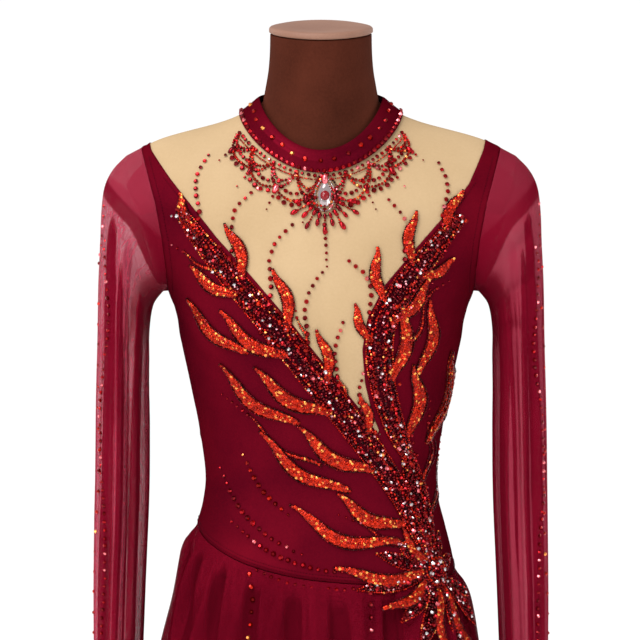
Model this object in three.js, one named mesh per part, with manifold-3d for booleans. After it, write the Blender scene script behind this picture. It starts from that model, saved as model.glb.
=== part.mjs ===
// A lyrical dance dress worn by a limbless dress form on its stand.
// Millimetres, +Z up, the front of the dress faces -Y and the wearer's left is +X.
// The origin is the middle of the stand's underside, on the floor.
//
// One "figure" surface carries everything above the waist seam: the form lies inside it, the cloth
// is a wall whose outer face is the surface itself, and the ornaments are strips moved out from it.
import * as THREE from "three";
import { mergeVertices } from "three/addons/utils/BufferGeometryUtils.js";
import Module from "manifold-3d";

const wasm = await Module();
wasm.setup();

// ---------------------------------------------------------------- driving sizes
const BODY_CLOTH = 1.5; // wall of the stretch cloth and of the yoke's net
const SHEER_CLOTH = 1.2; // wall of the sleeves and skirts
const COLLAR_CLOTH = 1.8; // the doubled neck band
const SEAM_GAP = 0.3; // between two pieces along a seam
const SKIRT_SEAM_GAP = 0.9;
const HEM_LEVEL = 320; // the skirt's hem above the floor
const UNDERSKIRT_HEM_RISE = 25; // how far the underskirt stops above the hem
const FOLDS = 20; // skirt folds all round
const POINTS_PER_FOLD = 5;
const FIGURE_SEGMENTS = 36;
const FORM_SEGMENTS = 28;
const SLEEVE_SEGMENTS = 28;
const UNDERSKIRT_SEGMENTS = 40;
const COLLAR_POINTS = 33;
const DOME_SEGMENTS = 24;
const DEG = Math.PI / 180;

// The figure, from hip to collar. level is the height at the sides; drop and rise are how far the
// front sinks and the back climbs from it; clear is the room left between the form and the cloth.
const FIGURE = [
  { level: 850, half: 150, front: 106, back: 118, centre: 0, square: 2.15, drop: 0, rise: 0, clear: 6 },
  { level: 900, half: 147, front: 106, back: 116, centre: 0, square: 2.15, drop: 0, rise: 0, clear: 6 },
  { level: 946, half: 140, front: 103, back: 108, centre: 0, square: 2.15, drop: 0, rise: 0, clear: 7 },
  { level: 983, half: 131, front: 98, back: 99, centre: 0, square: 2.15, drop: 0, rise: 0, clear: 6 },
  { level: 1009, half: 124.5, front: 94, back: 93, centre: 0, square: 2.15, drop: 0, rise: 0, clear: 3.5 },
  { level: 1039, half: 122, front: 92, back: 90, centre: 0, square: 2.15, drop: 0, rise: 0, clear: 1.5 },
  { level: 1089, half: 128.5, front: 98, back: 93, centre: 0, square: 2.15, drop: 0, rise: 0, clear: 1.5 },
  { level: 1120, half: 134.5, front: 105, back: 96, centre: 0, square: 2.15, drop: 0, rise: 0, clear: 1.5 },
  { level: 1152, half: 141, front: 111, back: 99, centre: 0, square: 2.15, drop: 0, rise: 0, clear: 1.5 },
  { level: 1184, half: 148, front: 115, back: 102, centre: 0, square: 2.15, drop: 0, rise: 0, clear: 1.5 },
  { level: 1216, half: 154, front: 115, back: 104, centre: 0, square: 2.15, drop: 0, rise: 0, clear: 1.5 },
  { level: 1250, half: 168, front: 112, back: 105, centre: 0, square: 2.1, drop: 2, rise: 1, clear: 1.5 },
  { level: 1290, half: 193, front: 107, back: 103, centre: 0, square: 2.05, drop: 7, rise: 2, clear: 1.5 },
  { level: 1327, half: 213, front: 101, back: 99, centre: 0, square: 2, drop: 14, rise: 3, clear: 1.5 },
  { level: 1343, half: 218, front: 97, back: 96, centre: 0, square: 2, drop: 18, rise: 4, clear: 1.5 },
  { level: 1359, half: 211, front: 93, back: 92, centre: 0, square: 1.95, drop: 23, rise: 4, clear: 1.5 },
  { level: 1375, half: 196, front: 89, back: 87, centre: 0, square: 1.9, drop: 30, rise: 5, clear: 1.5 },
  { level: 1391, half: 167.5, front: 85, back: 81, centre: -1, square: 1.8, drop: 38, rise: 6, clear: 1.9 },
  { level: 1407, half: 109, front: 81, back: 74, centre: -3, square: 1.8, drop: 47, rise: 6, clear: 2.3 },
  { level: 1418, half: 82, front: 78, back: 67, centre: -4, square: 1.95, drop: 54, rise: 6, clear: 2 },
  { level: 1433, half: 63, front: 66, back: 60, centre: -5, square: 2, drop: 48, rise: 5, clear: 3 },
];
const COLLAR_FOOT = 19; // the figure row where the yoke stops and the neck band starts
const COLLAR_TOP = 20;
const COLLAR_LIFT = 0.45; // from the yoke beneath it
// The figure's rows that the form and the cloth of the body are drawn through.
const FORM_PLACES = [0, 1, 2, 3, 4, 5, 6, 7, 9, 10, 11, 12, 13, 14, 15, 16, 17, 17.5, 18, 18.5, 19, 20];
const BODY_PLACES = [4, 4.5, 5, 5.5, 6, 7, 8, 9, 10, 11, 12, 13, 14, 15, 16, 17, 17.5, 18, 18.5, COLLAR_FOOT];

// The form's bare neck, above the neck band, and the thin lid that closes it.
const NECK = [
  { level: 1447, half: 57, front: 59, back: 55, centre: -7, square: 2, drop: 31, rise: 4 },
  { level: 1462, half: 54.5, front: 57, back: 53, centre: -8, square: 2, drop: 15, rise: 4 },
  { level: 1480, half: 53, front: 55, back: 52, centre: -9, square: 2, drop: 7, rise: 4 },
  { level: 1502, half: 52.5, front: 54, back: 52, centre: -10, square: 2, drop: 4, rise: 4 },
];
const LID = [
  { level: 1502.3, half: 51.5, front: 53, back: 51, centre: -10, square: 2, drop: 4, rise: 4 },
  { level: 1503, half: 53, front: 54.5, back: 52.5, centre: -10, square: 2, drop: 4, rise: 4 },
  { level: 1506.5, half: 53, front: 54.5, back: 52.5, centre: -10, square: 2, drop: 4, rise: 4 },
  { level: 1508, half: 51.5, front: 53, back: 51, centre: -10, square: 2, drop: 4, rise: 4 },
];
const BUST = { side: 82, level: 1192, width: 46, height: 44, out: 11 };
const STUMP = { from: 165, to: 200, extra: 12 }; // the form's shoulders shrink away from the sleeve heads

// The seam between bodice and skirt: its height at each turn, from the wearer's right round the front.
const WAIST_SEAM = [
  { turn: -180, level: 984 },
  { turn: -150, level: 973 },
  { turn: -120, level: 956 },
  { turn: -90, level: 943 },
  { turn: -60, level: 937 },
  { turn: -30, level: 935 },
  { turn: 0, level: 936 },
  { turn: 45, level: 939 },
  { turn: 90, level: 946 },
  { turn: 135, level: 962 },
];

// Cut lines as the front shows them, x across and z up.
const NECKLINE_RIGHT = [
  [-184, 1402], [-176, 1381], [-155, 1355], [-134, 1331], [-106, 1297], [-72, 1261], [-31, 1215], [8, 1165],
  [40, 1122], [66, 1083],
];
const NECKLINE_LEFT = [
  [66, 1083], [53, 1115], [45, 1150], [42, 1186], [47, 1218], [65, 1251], [97, 1287], [131, 1324],
  [152, 1350], [168, 1381], [176, 1402],
];
const BACK_YOKE = [
  [-184, 1402], [-176, 1381], [-154, 1350], [-110, 1322], [-60, 1303], [0, 1297], [60, 1303],
  [110, 1322], [150, 1352], [168, 1381], [176, 1402],
];
const ARMHOLE = [
  [160, 1205], [160, 1236], [160, 1258], [163, 1290], [170, 1330], [180, 1362], [188, 1384], [192, 1400],
];

// The sleeve in side rings: its outer and inner edge in the front view, half its depth, and the folds.
const SLEEVE = [
  { outX: 203, outZ: 1373, inX: 165, inZ: 1231, depth: 61, fold: 0 },
  { outX: 217, outZ: 1359, inX: 170, inZ: 1225, depth: 62, fold: 0.5 },
  { outX: 226, outZ: 1342, inX: 175, inZ: 1217, depth: 62, fold: 1.2 },
  { outX: 230, outZ: 1318, inX: 178, inZ: 1205, depth: 61, fold: 2 },
  { outX: 232, outZ: 1285, inX: 180, inZ: 1188, depth: 60, fold: 3 },
  { outX: 235, outZ: 1240, inX: 181, inZ: 1165, depth: 59, fold: 4 },
  { outX: 237, outZ: 1180, inX: 182, inZ: 1130, depth: 58, fold: 5 },
  { outX: 240, outZ: 1100, inX: 182, inZ: 1080, depth: 57, fold: 5.5 },
  { outX: 242, outZ: 1010, inX: 183, inZ: 1005, depth: 56, fold: 6 },
  { outX: 244, outZ: 900, inX: 188, inZ: 900, depth: 55, fold: 6 },
  { outX: 244, outZ: 792, inX: 193, inZ: 792, depth: 53, fold: 5.5 },
];
const SLEEVE_FOLDS = 7;

// The skirt's rings: half its width, and its reach to the front and back.
const SKIRT = [
  { level: 320, half: 262, front: 215, back: 222 },
  { level: 600, half: 209, front: 172, back: 180 },
  { level: 790, half: 175, front: 142, back: 150 },
  { level: 866, half: 161.5, front: 128, back: 134 },
  { level: 898, half: 155.5, front: 121, back: 127 },
  { level: 930, half: 149, front: 114, back: 120 },
  { level: 961, half: 141.5, front: 108, back: 111 },
  { level: 990, half: 134, front: 102, back: 103 },
];
const SKIRT_PUFF = 16; // below the seam, where the gathers have swung out to the skirt's own rings
const WRAP_EDGE = -59; // the turn where the skirt's front edge lies on top
const WRAP_UNDER = 16; // how far the other end runs on beneath it, in degrees
const WRAP_STEP = 2.4; // how deep it lies there
const FOLD_AT_SEAM = 4.5; // the folds' swing either way, soon below the seam and at the hem
const FOLD_AT_HEM = 14;
const FOLD_START = 30;
const SKIRT_LENGTH = 620;
const UNDERSKIRT_INSET = 4.6;
const SKIRT_ROWS = [0, 0.018, 0.07, 0.22, 0.55, 1]; // shares of the way down to the hem
const UNDERSKIRT_ROWS = [0, 0.04, 0.14, 0.45, 1];

// Beaded garlands along both edges of the plunging neckline, from hip end to shoulder end.
const GARLAND_RIGHT = [
  [103, 977], [84, 1022], [57, 1068], [29, 1109], [-4, 1153], [-43, 1204], [-84, 1250], [-119, 1290],
  [-143, 1322],
];
const GARLAND_LEFT = [
  [89, 1068], [74, 1106], [63, 1148], [59, 1184], [63, 1213], [80, 1243], [109, 1279], [142, 1316],
];
const GARLAND_HALF = 12;
const ORNAMENT_LIFT = 1.6; // from the cloth to the back of an ornament
const ORNAMENT_RISE = 2.2; // a garland's thickness along its middle
const ORNAMENT_EDGE = 0.45; // and the share of it at its edges
const ORNAMENT_SOLE = 0.6; // the share of its width that its underside has
const GARLAND_STATIONS = 13;
const GARLAND_TIP = 0.35; // a garland's share of its width at its ends
const LEAF_RISE = 1.8;

// Leaves that grow off a garland: where along it, on which side, how long and wide, and at what angle.
const RIGHT_LEAVES = [
  { at: 0.12, side: 1, length: 74, width: 16, spread: 52, bend: -0.16 },
  { at: 0.27, side: 1, length: 92, width: 17, spread: 44, bend: -0.18 },
  { at: 0.42, side: 1, length: 98, width: 18, spread: 40, bend: -0.18 },
  { at: 0.57, side: 1, length: 86, width: 17, spread: 38, bend: -0.18 },
  { at: 0.72, side: 1, length: 66, width: 15, spread: 36, bend: -0.16 },
  { at: 0.6, side: -1, length: 34, width: 9, spread: 34, bend: 0.14 },
  { at: 0.74, side: -1, length: 38, width: 10, spread: 32, bend: 0.14 },
  { at: 0.88, side: -1, length: 34, width: 9, spread: 30, bend: 0.14 },
];
const LEFT_LEAVES = [
  { at: 0.08, side: -1, length: 74, width: 16, spread: 30, bend: 0.14 },
  { at: 0.3, side: -1, length: 80, width: 16, spread: 36, bend: 0.16 },
  { at: 0.54, side: -1, length: 66, width: 15, spread: 38, bend: 0.16 },
  { at: 0.78, side: -1, length: 42, width: 11, spread: 34, bend: 0.14 },
  { at: 0.62, side: 1, length: 30, width: 8, spread: 34, bend: -0.14 },
  { at: 0.82, side: 1, length: 34, width: 9, spread: 34, bend: -0.14 },
];
// Leaves fanned round the hip rosette, on the bodice and down the skirt.
// bow is the hip's own radius there.
const HIP = { turn: -34, level: 943, radius: 20, petals: 6, scallop: 0.1, rise: 5, bow: 122 };
const HIP_LEAVES = [
  { angle: 178, length: 62, width: 15, bend: 0.12 },
  { angle: 205, length: 46, width: 13, bend: 0.1 },
  { angle: 248, length: 52, width: 14, bend: 0.1 },
  { angle: 275, length: 66, width: 15, bend: 0.08 },
  { angle: 301, length: 56, width: 14, bend: -0.08 },
];
const PENDANT = { x: 4, level: 1342, halfWidth: 8, halfHeight: 13, lift: 0.6, rise: 4 };
const LEAF_STATIONS = 6;
const LEAF_TIP = 0.7;

const STAND = { baseRadius: 165, baseHeight: 12, poleRadius: 14, flangeRadius: 48, flangeHeight: 7 };
const TURNED_SEGMENTS = 32;
const BUTTON = { radius: 3.5, out: 6.1, besideSlit: 5, segments: 12, rise: 0.5 };

// ---------------------------------------------------------------- small maths
const clamp = (v, low, high) => Math.min(high, Math.max(low, v));
const mix = (a, b, share) => a + (b - a) * share;
const smooth = (from, to, v) => {
  const share = clamp((v - from) / (to - from), 0, 1);
  return share * share * (3 - 2 * share);
};
const signedPower = (v, power) => Math.sign(v) * Math.abs(v) ** power;
const steps = (count, make) => Array.from({ length: count }, (_, i) => make(i));

// A Catmull-Rom value through four numbers.
function through(a, b, c, d, f) {
  return 0.5 * (2 * b + (c - a) * f + (2 * a - 5 * b + 4 * c - d) * f * f + (3 * b - a - 3 * c + d) * f ** 3);
}

// The row of a table at place t, each column run smoothly from row to row.
function rowAt(rows, t) {
  const place = clamp(t, 0, rows.length - 1 - 1e-9);
  const i = Math.floor(place);
  const pick = (k) => rows[clamp(k, 0, rows.length - 1)];
  const made = {};
  for (const key of Object.keys(rows[0]))
    made[key] = through(pick(i - 1)[key], pick(i)[key], pick(i + 1)[key], pick(i + 2)[key], place - i);
  return made;
}

// The place in a rising function where it reaches a value.
function solve(rising, value, low, high) {
  for (let i = 0; i < 44; i++) {
    const middle = (low + high) / 2;
    if (rising(middle) < value) low = middle;
    else high = middle;
  }
  return low;
}

// The outward normal of a surface given by two parameters, the first running counterclockwise and
// the second upwards.
function normalOf(surface, u, v, stepU = 0.004, stepV = 0.02) {
  const across = surface(u + stepU, v).sub(surface(u - stepU, v));
  const up = surface(u, v + stepV).sub(surface(u, v - stepV));
  return across.cross(up).normalize();
}

// ---------------------------------------------------------------- the figure
function ringPoint(row, turn) {
  const c = Math.cos(turn);
  const s = Math.sin(turn);
  const power = 2 / row.square;
  return new THREE.Vector3(
    row.half * signedPower(c, power),
    row.centre + (s < 0 ? row.front : row.back) * signedPower(s, power),
    row.level + (s < 0 ? -row.drop : row.rise) * Math.abs(s) ** 1.5,
  );
}

function figureBase(turn, t) {
  const point = ringPoint(rowAt(FIGURE, t), turn);
  const facing = clamp(-2 * Math.sin(turn), 0, 1);
  const aside = (Math.abs(point.x) - BUST.side) / BUST.width;
  const above = (point.z - BUST.level) / BUST.height;
  point.y -= facing * BUST.out * Math.exp(-(aside ** 2 + above ** 2) / 2);
  return point;
}

function figurePoint(turn, t, out = 0) {
  return figureBase(turn, t).addScaledVector(normalOf(figureBase, turn, t), out);
}

// The place t on the figure that has a height at a given turn.
function placeAtLevel(turn, level) {
  return solve((t) => figureBase(turn, t).z, level, 0, COLLAR_TOP - 1e-6);
}

// The turn of the figure's front (side -1) or back (side 1) that has a given x at place t.
function turnAtX(x, t, side) {
  const row = rowAt(FIGURE, t);
  return side * Math.acos(signedPower(clamp(x / row.half, -1, 1), row.square / 2));
}

// The turn and place of the figure behind a point of the front or back view.
function facePlace(x, z, side = -1) {
  const height = (t) => figureBase(turnAtX(x, t, side), t).z;
  const t = solve(height, z, 0, COLLAR_TOP - 1e-6);
  return { turn: turnAtX(x, t, side), t };
}

function facePoint(x, z, out = 0, side = -1) {
  const { turn, t } = facePlace(x, z, side);
  return figurePoint(turn, t, out);
}

// The height of the waist seam at a turn.
function seamLevel(turn) {
  const degrees = ((turn / DEG + 180) % 360 + 360) % 360 - 180;
  const count = WAIST_SEAM.length;
  const next = (i) => (i + 1 < count ? WAIST_SEAM[i + 1].turn : 180);
  const i = WAIST_SEAM.findIndex((row, k) => degrees >= row.turn && degrees < next(k));
  const level = (k) => WAIST_SEAM[(k + count) % count].level;
  const share = (degrees - WAIST_SEAM[i].turn) / (next(i) - WAIST_SEAM[i].turn);
  return through(level(i - 1), level(i), level(i + 1), level(i + 2), share);
}

// ---------------------------------------------------------------- solids from grids of points
function geometryFrom(points, triangles) {
  const geometry = new THREE.BufferGeometry();
  const numbers = points.flatMap((p) => [p.x, p.y, p.z]);
  geometry.setAttribute("position", new THREE.Float32BufferAttribute(numbers, 3));
  const corner = ([a, b, c]) => points[a].dot(points[b].clone().cross(points[c]));
  const volume = triangles.reduce((sum, triangle) => sum + corner(triangle), 0);
  geometry.setIndex(triangles.flatMap(([a, b, c]) => (volume < 0 ? [a, c, b] : [a, b, c])));
  return geometry;
}

// A closed wall between an outer and an inner grid of points. wrap joins the last column to the first.
function wall(outer, inner, wrap) {
  const rows = outer.length;
  const columns = outer[0].length;
  const at = (layer, r, c) => layer * rows * columns + r * columns + (c % columns);
  const triangles = [];
  const quad = (a, b, c, d) => triangles.push([a, b, c], [a, c, d]);
  const spans = wrap ? columns : columns - 1;
  for (let c = 0; c < spans; c++) {
    for (let r = 0; r < rows - 1; r++) {
      quad(at(0, r, c), at(0, r, c + 1), at(0, r + 1, c + 1), at(0, r + 1, c));
      quad(at(1, r, c), at(1, r + 1, c), at(1, r + 1, c + 1), at(1, r, c + 1));
    }
    quad(at(0, 0, c), at(1, 0, c), at(1, 0, c + 1), at(0, 0, c + 1));
    quad(at(0, rows - 1, c), at(0, rows - 1, c + 1), at(1, rows - 1, c + 1), at(1, rows - 1, c));
  }
  for (let r = 0; r < (wrap ? 0 : rows - 1); r++) {
    quad(at(0, r, 0), at(0, r + 1, 0), at(1, r + 1, 0), at(1, r, 0));
    const end = columns - 1;
    quad(at(0, r, end), at(1, r, end), at(1, r + 1, end), at(0, r + 1, end));
  }
  return geometryFrom([...outer.flat(), ...inner.flat()], triangles);
}

// A closed body of stacked rings with a flat fan at each end.
function stack(rings) {
  const columns = rings[0].length;
  const middle = (ring) => ring.reduce((sum, p) => sum.add(p), new THREE.Vector3()).divideScalar(columns);
  const points = [...rings.flat(), middle(rings[0]), middle(rings.at(-1))];
  const foot = points.length - 2;
  const top = foot + 1;
  const triangles = [];
  for (let c = 0; c < columns; c++) {
    const next = (c + 1) % columns;
    for (let r = 0; r < rings.length - 1; r++) {
      const low = r * columns;
      const high = low + columns;
      triangles.push([low + c, low + next, high + next], [low + c, high + next, high + c]);
    }
    const last = (rings.length - 1) * columns;
    triangles.push([foot, next, c], [top, last + c, last + next]);
  }
  return geometryFrom(points, triangles);
}

// ---------------------------------------------------------------- cutting with manifold-3d
function solidOf(geometry) {
  const bare = geometry.clone();
  bare.deleteAttribute("normal");
  bare.deleteAttribute("uv");
  const merged = bare.index ? bare : mergeVertices(bare, 1e-4);
  const closed = mergeVertices(merged, 1e-4);
  return new wasm.Manifold(
    new wasm.Mesh({
      numProp: 3,
      vertProperties: new Float32Array(closed.attributes.position.array),
      triVerts: new Uint32Array(closed.index.array),
    }),
  );
}

function geometryOf(solid) {
  const mesh = solid.getMesh();
  const geometry = new THREE.BufferGeometry();
  const points = [];
  for (let i = 0; i < mesh.numVert; i++) {
    const start = i * mesh.numProp;
    points.push(...mesh.vertProperties.subarray(start, start + 3));
  }
  geometry.setAttribute("position", new THREE.Float32BufferAttribute(points, 3));
  geometry.setIndex(Array.from(mesh.triVerts));
  return geometry;
}

// A cutter with a front-view outline that runs from one y to another.
function cutter(outline, fromY, toY) {
  const shape = new THREE.Shape(outline.map(([x, z]) => new THREE.Vector2(x, z)));
  const geometry = new THREE.ExtrudeGeometry(shape, { depth: toY - fromY, bevelEnabled: false, steps: 1 });
  return solidOf(geometry.rotateX(Math.PI / 2).translate(0, toY, 0));
}

function smoothLine(points, count) {
  const curve = new THREE.SplineCurve(points.map(([x, z]) => new THREE.Vector2(x, z)));
  return curve.getPoints(count).map((p) => [p.x, p.y]);
}

// The same outline grown by a distance, corners kept sharp; its points run counterclockwise.
function grown(outline, distance) {
  const outward = ([ax, az], [bx, bz]) => new THREE.Vector2(bz - az, ax - bx).normalize();
  return outline.map(([x, z], i) => {
    const before = outward(outline.at(i - 1), [x, z]);
    const after = outward([x, z], outline[(i + 1) % outline.length]);
    const reach = distance / Math.max(SHARPEST, 1 + before.dot(after));
    return [x + (before.x + after.x) * reach, z + (before.y + after.y) * reach];
  });
}

const FAR = 400;
const ABOVE = 1560;
const BELOW = 800;
const SHARPEST = 0.01; // keeps a needle-sharp corner from running away

function bodyOutline() {
  const edge = smoothLine(ARMHOLE, 14);
  const left = edge.map(([x, z]) => [x - SEAM_GAP / 2, z]);
  const right = left.map(([x, z]) => [-x, z]).reverse();
  const [top] = left.at(-1);
  const foot = edge[0][1] - 1;
  const below = [[-FAR, foot], [-FAR, BELOW], [FAR, BELOW], [FAR, foot]];
  return [...below, ...left, [top, ABOVE], [-top, ABOVE], ...right];
}

// ---------------------------------------------------------------- form and stand
function formRing(t) {
  return steps(FORM_SEGMENTS, (i) => {
    const turn = (i / FORM_SEGMENTS) * 2 * Math.PI;
    const skin = figureBase(turn, t);
    const shoulder = STUMP.extra * smooth(STUMP.from, STUMP.to, Math.abs(skin.x));
    return figurePoint(turn, t, -(BODY_CLOTH + rowAt(FIGURE, t).clear + shoulder));
  });
}

function plainRing(row) {
  return steps(FORM_SEGMENTS, (i) => ringPoint(row, (i / FORM_SEGMENTS) * 2 * Math.PI));
}

function buildForm() {
  const body = FORM_PLACES.map(formRing);
  for (const point of body[0]) point.z = FIGURE[0].level;
  return stack([...body, ...NECK.map(plainRing)]);
}

function buildLid() {
  return stack(LID.map(plainRing));
}

// A body of revolution about the upright axis from a profile of [radius, height].
function turned(profile) {
  const points = profile.map(([radius, height]) => new THREE.Vector2(radius, height));
  return new THREE.LatheGeometry(points, TURNED_SEGMENTS).rotateX(Math.PI / 2);
}

// The pole, flared into the flange that carries the form.
function buildPole() {
  const { poleRadius: radius, flangeRadius, flangeHeight } = STAND;
  const foot = STAND.baseHeight + SEAM_GAP;
  const top = FIGURE[0].level - SEAM_GAP;
  const flange = top - flangeHeight;
  const shaft = [[0, foot], [radius, foot], [radius, flange - 18], [radius + 6, flange - 5]];
  const plate = [[flangeRadius - 3, flange], [flangeRadius, flange + 2], [flangeRadius, top], [0, top]];
  return turned([...shaft, ...plate]);
}

function buildBase() {
  const { baseRadius: radius, baseHeight: height } = STAND;
  const rim = [[radius - 2, 0], [radius, 2], [radius, height / 2], [radius - 3, height * 0.75]];
  return turned([[0, 0], ...rim, [radius * 0.4, height], [0, height]]);
}

// ---------------------------------------------------------------- bodice, yoke and collar
// The whole cloth of the body as one wall, from the waist seam to the collar's foot.
function bodyShell() {
  const turns = steps(FIGURE_SEGMENTS, (i) => (i / FIGURE_SEGMENTS) * 2 * Math.PI);
  const seam = turns.map((turn) => placeAtLevel(turn, seamLevel(turn)));
  const next = seam.map((t) => (t + BODY_PLACES[0]) / 2);
  const rows = [seam, next, ...BODY_PLACES.map((t) => turns.map(() => t))];
  const grid = (out) => rows.map((row) => row.map((t, i) => figurePoint(turns[i], t, out)));
  const [outer, inner] = [grid(0), grid(-BODY_CLOTH)];
  inner[0].forEach((point, i) => point.setZ(outer[0][i].z));
  return solidOf(wall(outer, inner, true));
}

// A cutter that keeps one side of the centre-back opening.
function backHalf(side) {
  const near = (side * SEAM_GAP) / 2;
  const [from, to] = side < 0 ? [-FAR, near] : [near, FAR];
  return cutter([[from, BELOW], [to, BELOW], [to, ABOVE], [from, ABOVE]], 0, FAR);
}

function buildBody() {
  const shell = bodyShell();
  const outline = bodyOutline();
  const front = shell.intersect(cutter(outline, -FAR, -SEAM_GAP / 2));
  const back = shell.intersect(cutter(outline, SEAM_GAP / 2, FAR));
  const neckline = [...smoothLine(NECKLINE_RIGHT, 18), ...smoothLine(NECKLINE_LEFT, 20).slice(1)];
  const plunge = [...neckline, [neckline.at(-1)[0], ABOVE], [neckline[0][0], ABOVE]];
  const scoopLine = smoothLine(BACK_YOKE, 20);
  const scoop = [...scoopLine, [scoopLine.at(-1)[0], ABOVE], [scoopLine[0][0], ABOVE]];
  const yokeBack = back.intersect(cutter(scoop, 0, FAR));
  return {
    yoke_front: front.intersect(cutter(plunge, -FAR, 0)),
    bodice_front: front.subtract(cutter(grown(plunge, SEAM_GAP), -FAR, 0)),
    yoke_back_left: yokeBack.intersect(backHalf(1)),
    yoke_back_right: yokeBack.intersect(backHalf(-1)),
    bodice_back: back.subtract(cutter(grown(scoop, SEAM_GAP), 0, FAR)),
  };
}

// The neck band lies over the yoke's top edge and meets at the centre back.
function buildCollar() {
  const slit = (SEAM_GAP + 0.1) / 2 / FIGURE[COLLAR_FOOT].back;
  const share = (i) => i / (COLLAR_POINTS - 1);
  const turns = steps(COLLAR_POINTS, (i) => Math.PI / 2 + slit + share(i) * 2 * (Math.PI - slit));
  const places = [COLLAR_FOOT - 0.12, COLLAR_FOOT + 0.3, COLLAR_FOOT + 0.68, COLLAR_TOP];
  const grid = (out) => places.map((t) => turns.map((turn) => figurePoint(turn, t, out)));
  return wall(grid(COLLAR_LIFT + COLLAR_CLOTH), grid(COLLAR_LIFT), false);
}

function buildButton() {
  const place = figurePoint(Math.PI / 2 + BUTTON.besideSlit * DEG, COLLAR_FOOT + BUTTON.rise, BUTTON.out);
  const ball = new THREE.SphereGeometry(BUTTON.radius, BUTTON.segments, BUTTON.segments / 2);
  return ball.translate(place.x, place.y, place.z);
}

// ---------------------------------------------------------------- sleeves
const armholeCurve = new THREE.SplineCurve(ARMHOLE.map(([x, z]) => new THREE.Vector2(x, z)));

// The armhole's x at a height, on the sleeve's side of the seam.
function armholeX(level) {
  const share = solve((s) => armholeCurve.getPoint(s).y, level, 0, 1);
  return armholeCurve.getPoint(share).x + SEAM_GAP;
}

// Where the armhole meets the figure's side, below and above.
function armholeEnd(low, high, sense) {
  const beyond = (t) => sense * (rowAt(FIGURE, t).half - armholeX(rowAt(FIGURE, t).level));
  return rowAt(FIGURE, solve(beyond, 0, low, high)).level;
}
const ARMHOLE_FOOT = armholeEnd(9, 13, 1);
const ARMHOLE_HEAD = armholeEnd(14.5, 17, -1);

// A point of the left sleeve's head, on the armhole. angle is -90 degrees at the underarm, 0 at the
// front and 90 at the shoulder. inward moves it into the wall without leaving the seam.
function armholePoint(angle, inward = 0) {
  const level = mix(ARMHOLE_FOOT, ARMHOLE_HEAD, (1 + Math.sin(angle)) / 2);
  const side = Math.cos(angle) < 0 ? 1 : -1;
  const { turn, t } = facePlace(armholeX(level), level, side);
  const across = normalOf(figureBase, turn, t).setX(0).normalize();
  return figurePoint(turn, t).setX(armholeX(level)).addScaledVector(across, -inward);
}

function sleeveFold(angle) {
  const phase = SLEEVE_FOLDS * angle + 0.7 * Math.sin(2 * angle + 0.6) + 0.4 * Math.sin(3 * angle);
  return (1 - Math.cos(phase)) / 2;
}

// A point of the left sleeve at place v of its table, -1 being the armhole.
function sleevePoint(angle, v) {
  const row = rowAt(SLEEVE, Math.max(v, 0));
  const across = new THREE.Vector3(row.outX - row.inX, 0, row.outZ - row.inZ).divideScalar(2);
  const forward = new THREE.Vector3(0, -row.depth, 0);
  const spoke = across.multiplyScalar(Math.sin(angle)).addScaledVector(forward, Math.cos(angle));
  spoke.setLength(spoke.length() - row.fold * sleeveFold(angle));
  const ring = spoke.add(new THREE.Vector3((row.outX + row.inX) / 2, 0, (row.outZ + row.inZ) / 2));
  return v >= 0 ? ring : armholePoint(angle).lerp(ring, v + 1);
}

// Both walls of a sleeve; side is 1 for the left and -1 for the right.
function buildSleeve(side) {
  const angles = steps(SLEEVE_SEGMENTS, (i) => (i / SLEEVE_SEGMENTS) * 2 * Math.PI);
  const places = steps(SLEEVE.length, (v) => v);
  const skin = (angle, v, inward) => {
    const normal = normalOf(sleevePoint, angle, v, 0.05, 0.3);
    return sleevePoint(angle, v).addScaledVector(normal, inward);
  };
  const grid = (inward) => [
    angles.map((angle) => armholePoint(angle, inward)),
    ...places.map((v) => angles.map((angle) => skin(angle, v, inward))),
  ];
  const [outer, inner] = [grid(0), grid(SHEER_CLOTH)];
  for (const point of [...outer, ...inner].flat()) point.x *= side;
  return wall(outer, inner, true);
}

// ---------------------------------------------------------------- skirts
function skirtRing(level) {
  return rowAt(SKIRT, solve((t) => rowAt(SKIRT, t).level, level, 0, SKIRT.length - 1));
}

function foldWave(turn) {
  return Math.cos(FOLDS * turn + 0.9 * Math.sin(3 * turn + 1) + 0.5 * Math.sin(5 * turn + 2));
}

// How far the folds swing either way at a distance below the seam.
function foldSwing(below) {
  return FOLD_AT_SEAM * smooth(0, FOLD_START, below) + (FOLD_AT_HEM - FOLD_AT_SEAM) * (below / SKIRT_LENGTH);
}

// A point of the skirt below a turn. inset moves it in from the outer skirt's face; wave is 1 on the
// crest of a fold and -1 in its trough.
function skirtPoint(turn, below, inset = 0, wave = foldWave(turn)) {
  const level = seamLevel(turn) - SKIRT_SEAM_GAP - below;
  const hip = figurePoint(turn, placeAtLevel(turn, Math.max(level, FIGURE[0].level)), -inset);
  const { half, front, back } = skirtRing(level);
  const depth = Math.sin(turn) < 0 ? front : back;
  const radius = new THREE.Vector3(half * Math.cos(turn), depth * Math.sin(turn), 0);
  radius.setLength(radius.length() - inset + foldSwing(below) * wave);
  radius.z = level;
  return hip.setZ(level).lerp(radius, smooth(0, SKIRT_PUFF, below));
}

function skirtLength(turn, rise = 0) {
  return seamLevel(turn) - SKIRT_SEAM_GAP - HEM_LEVEL - rise;
}

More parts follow.
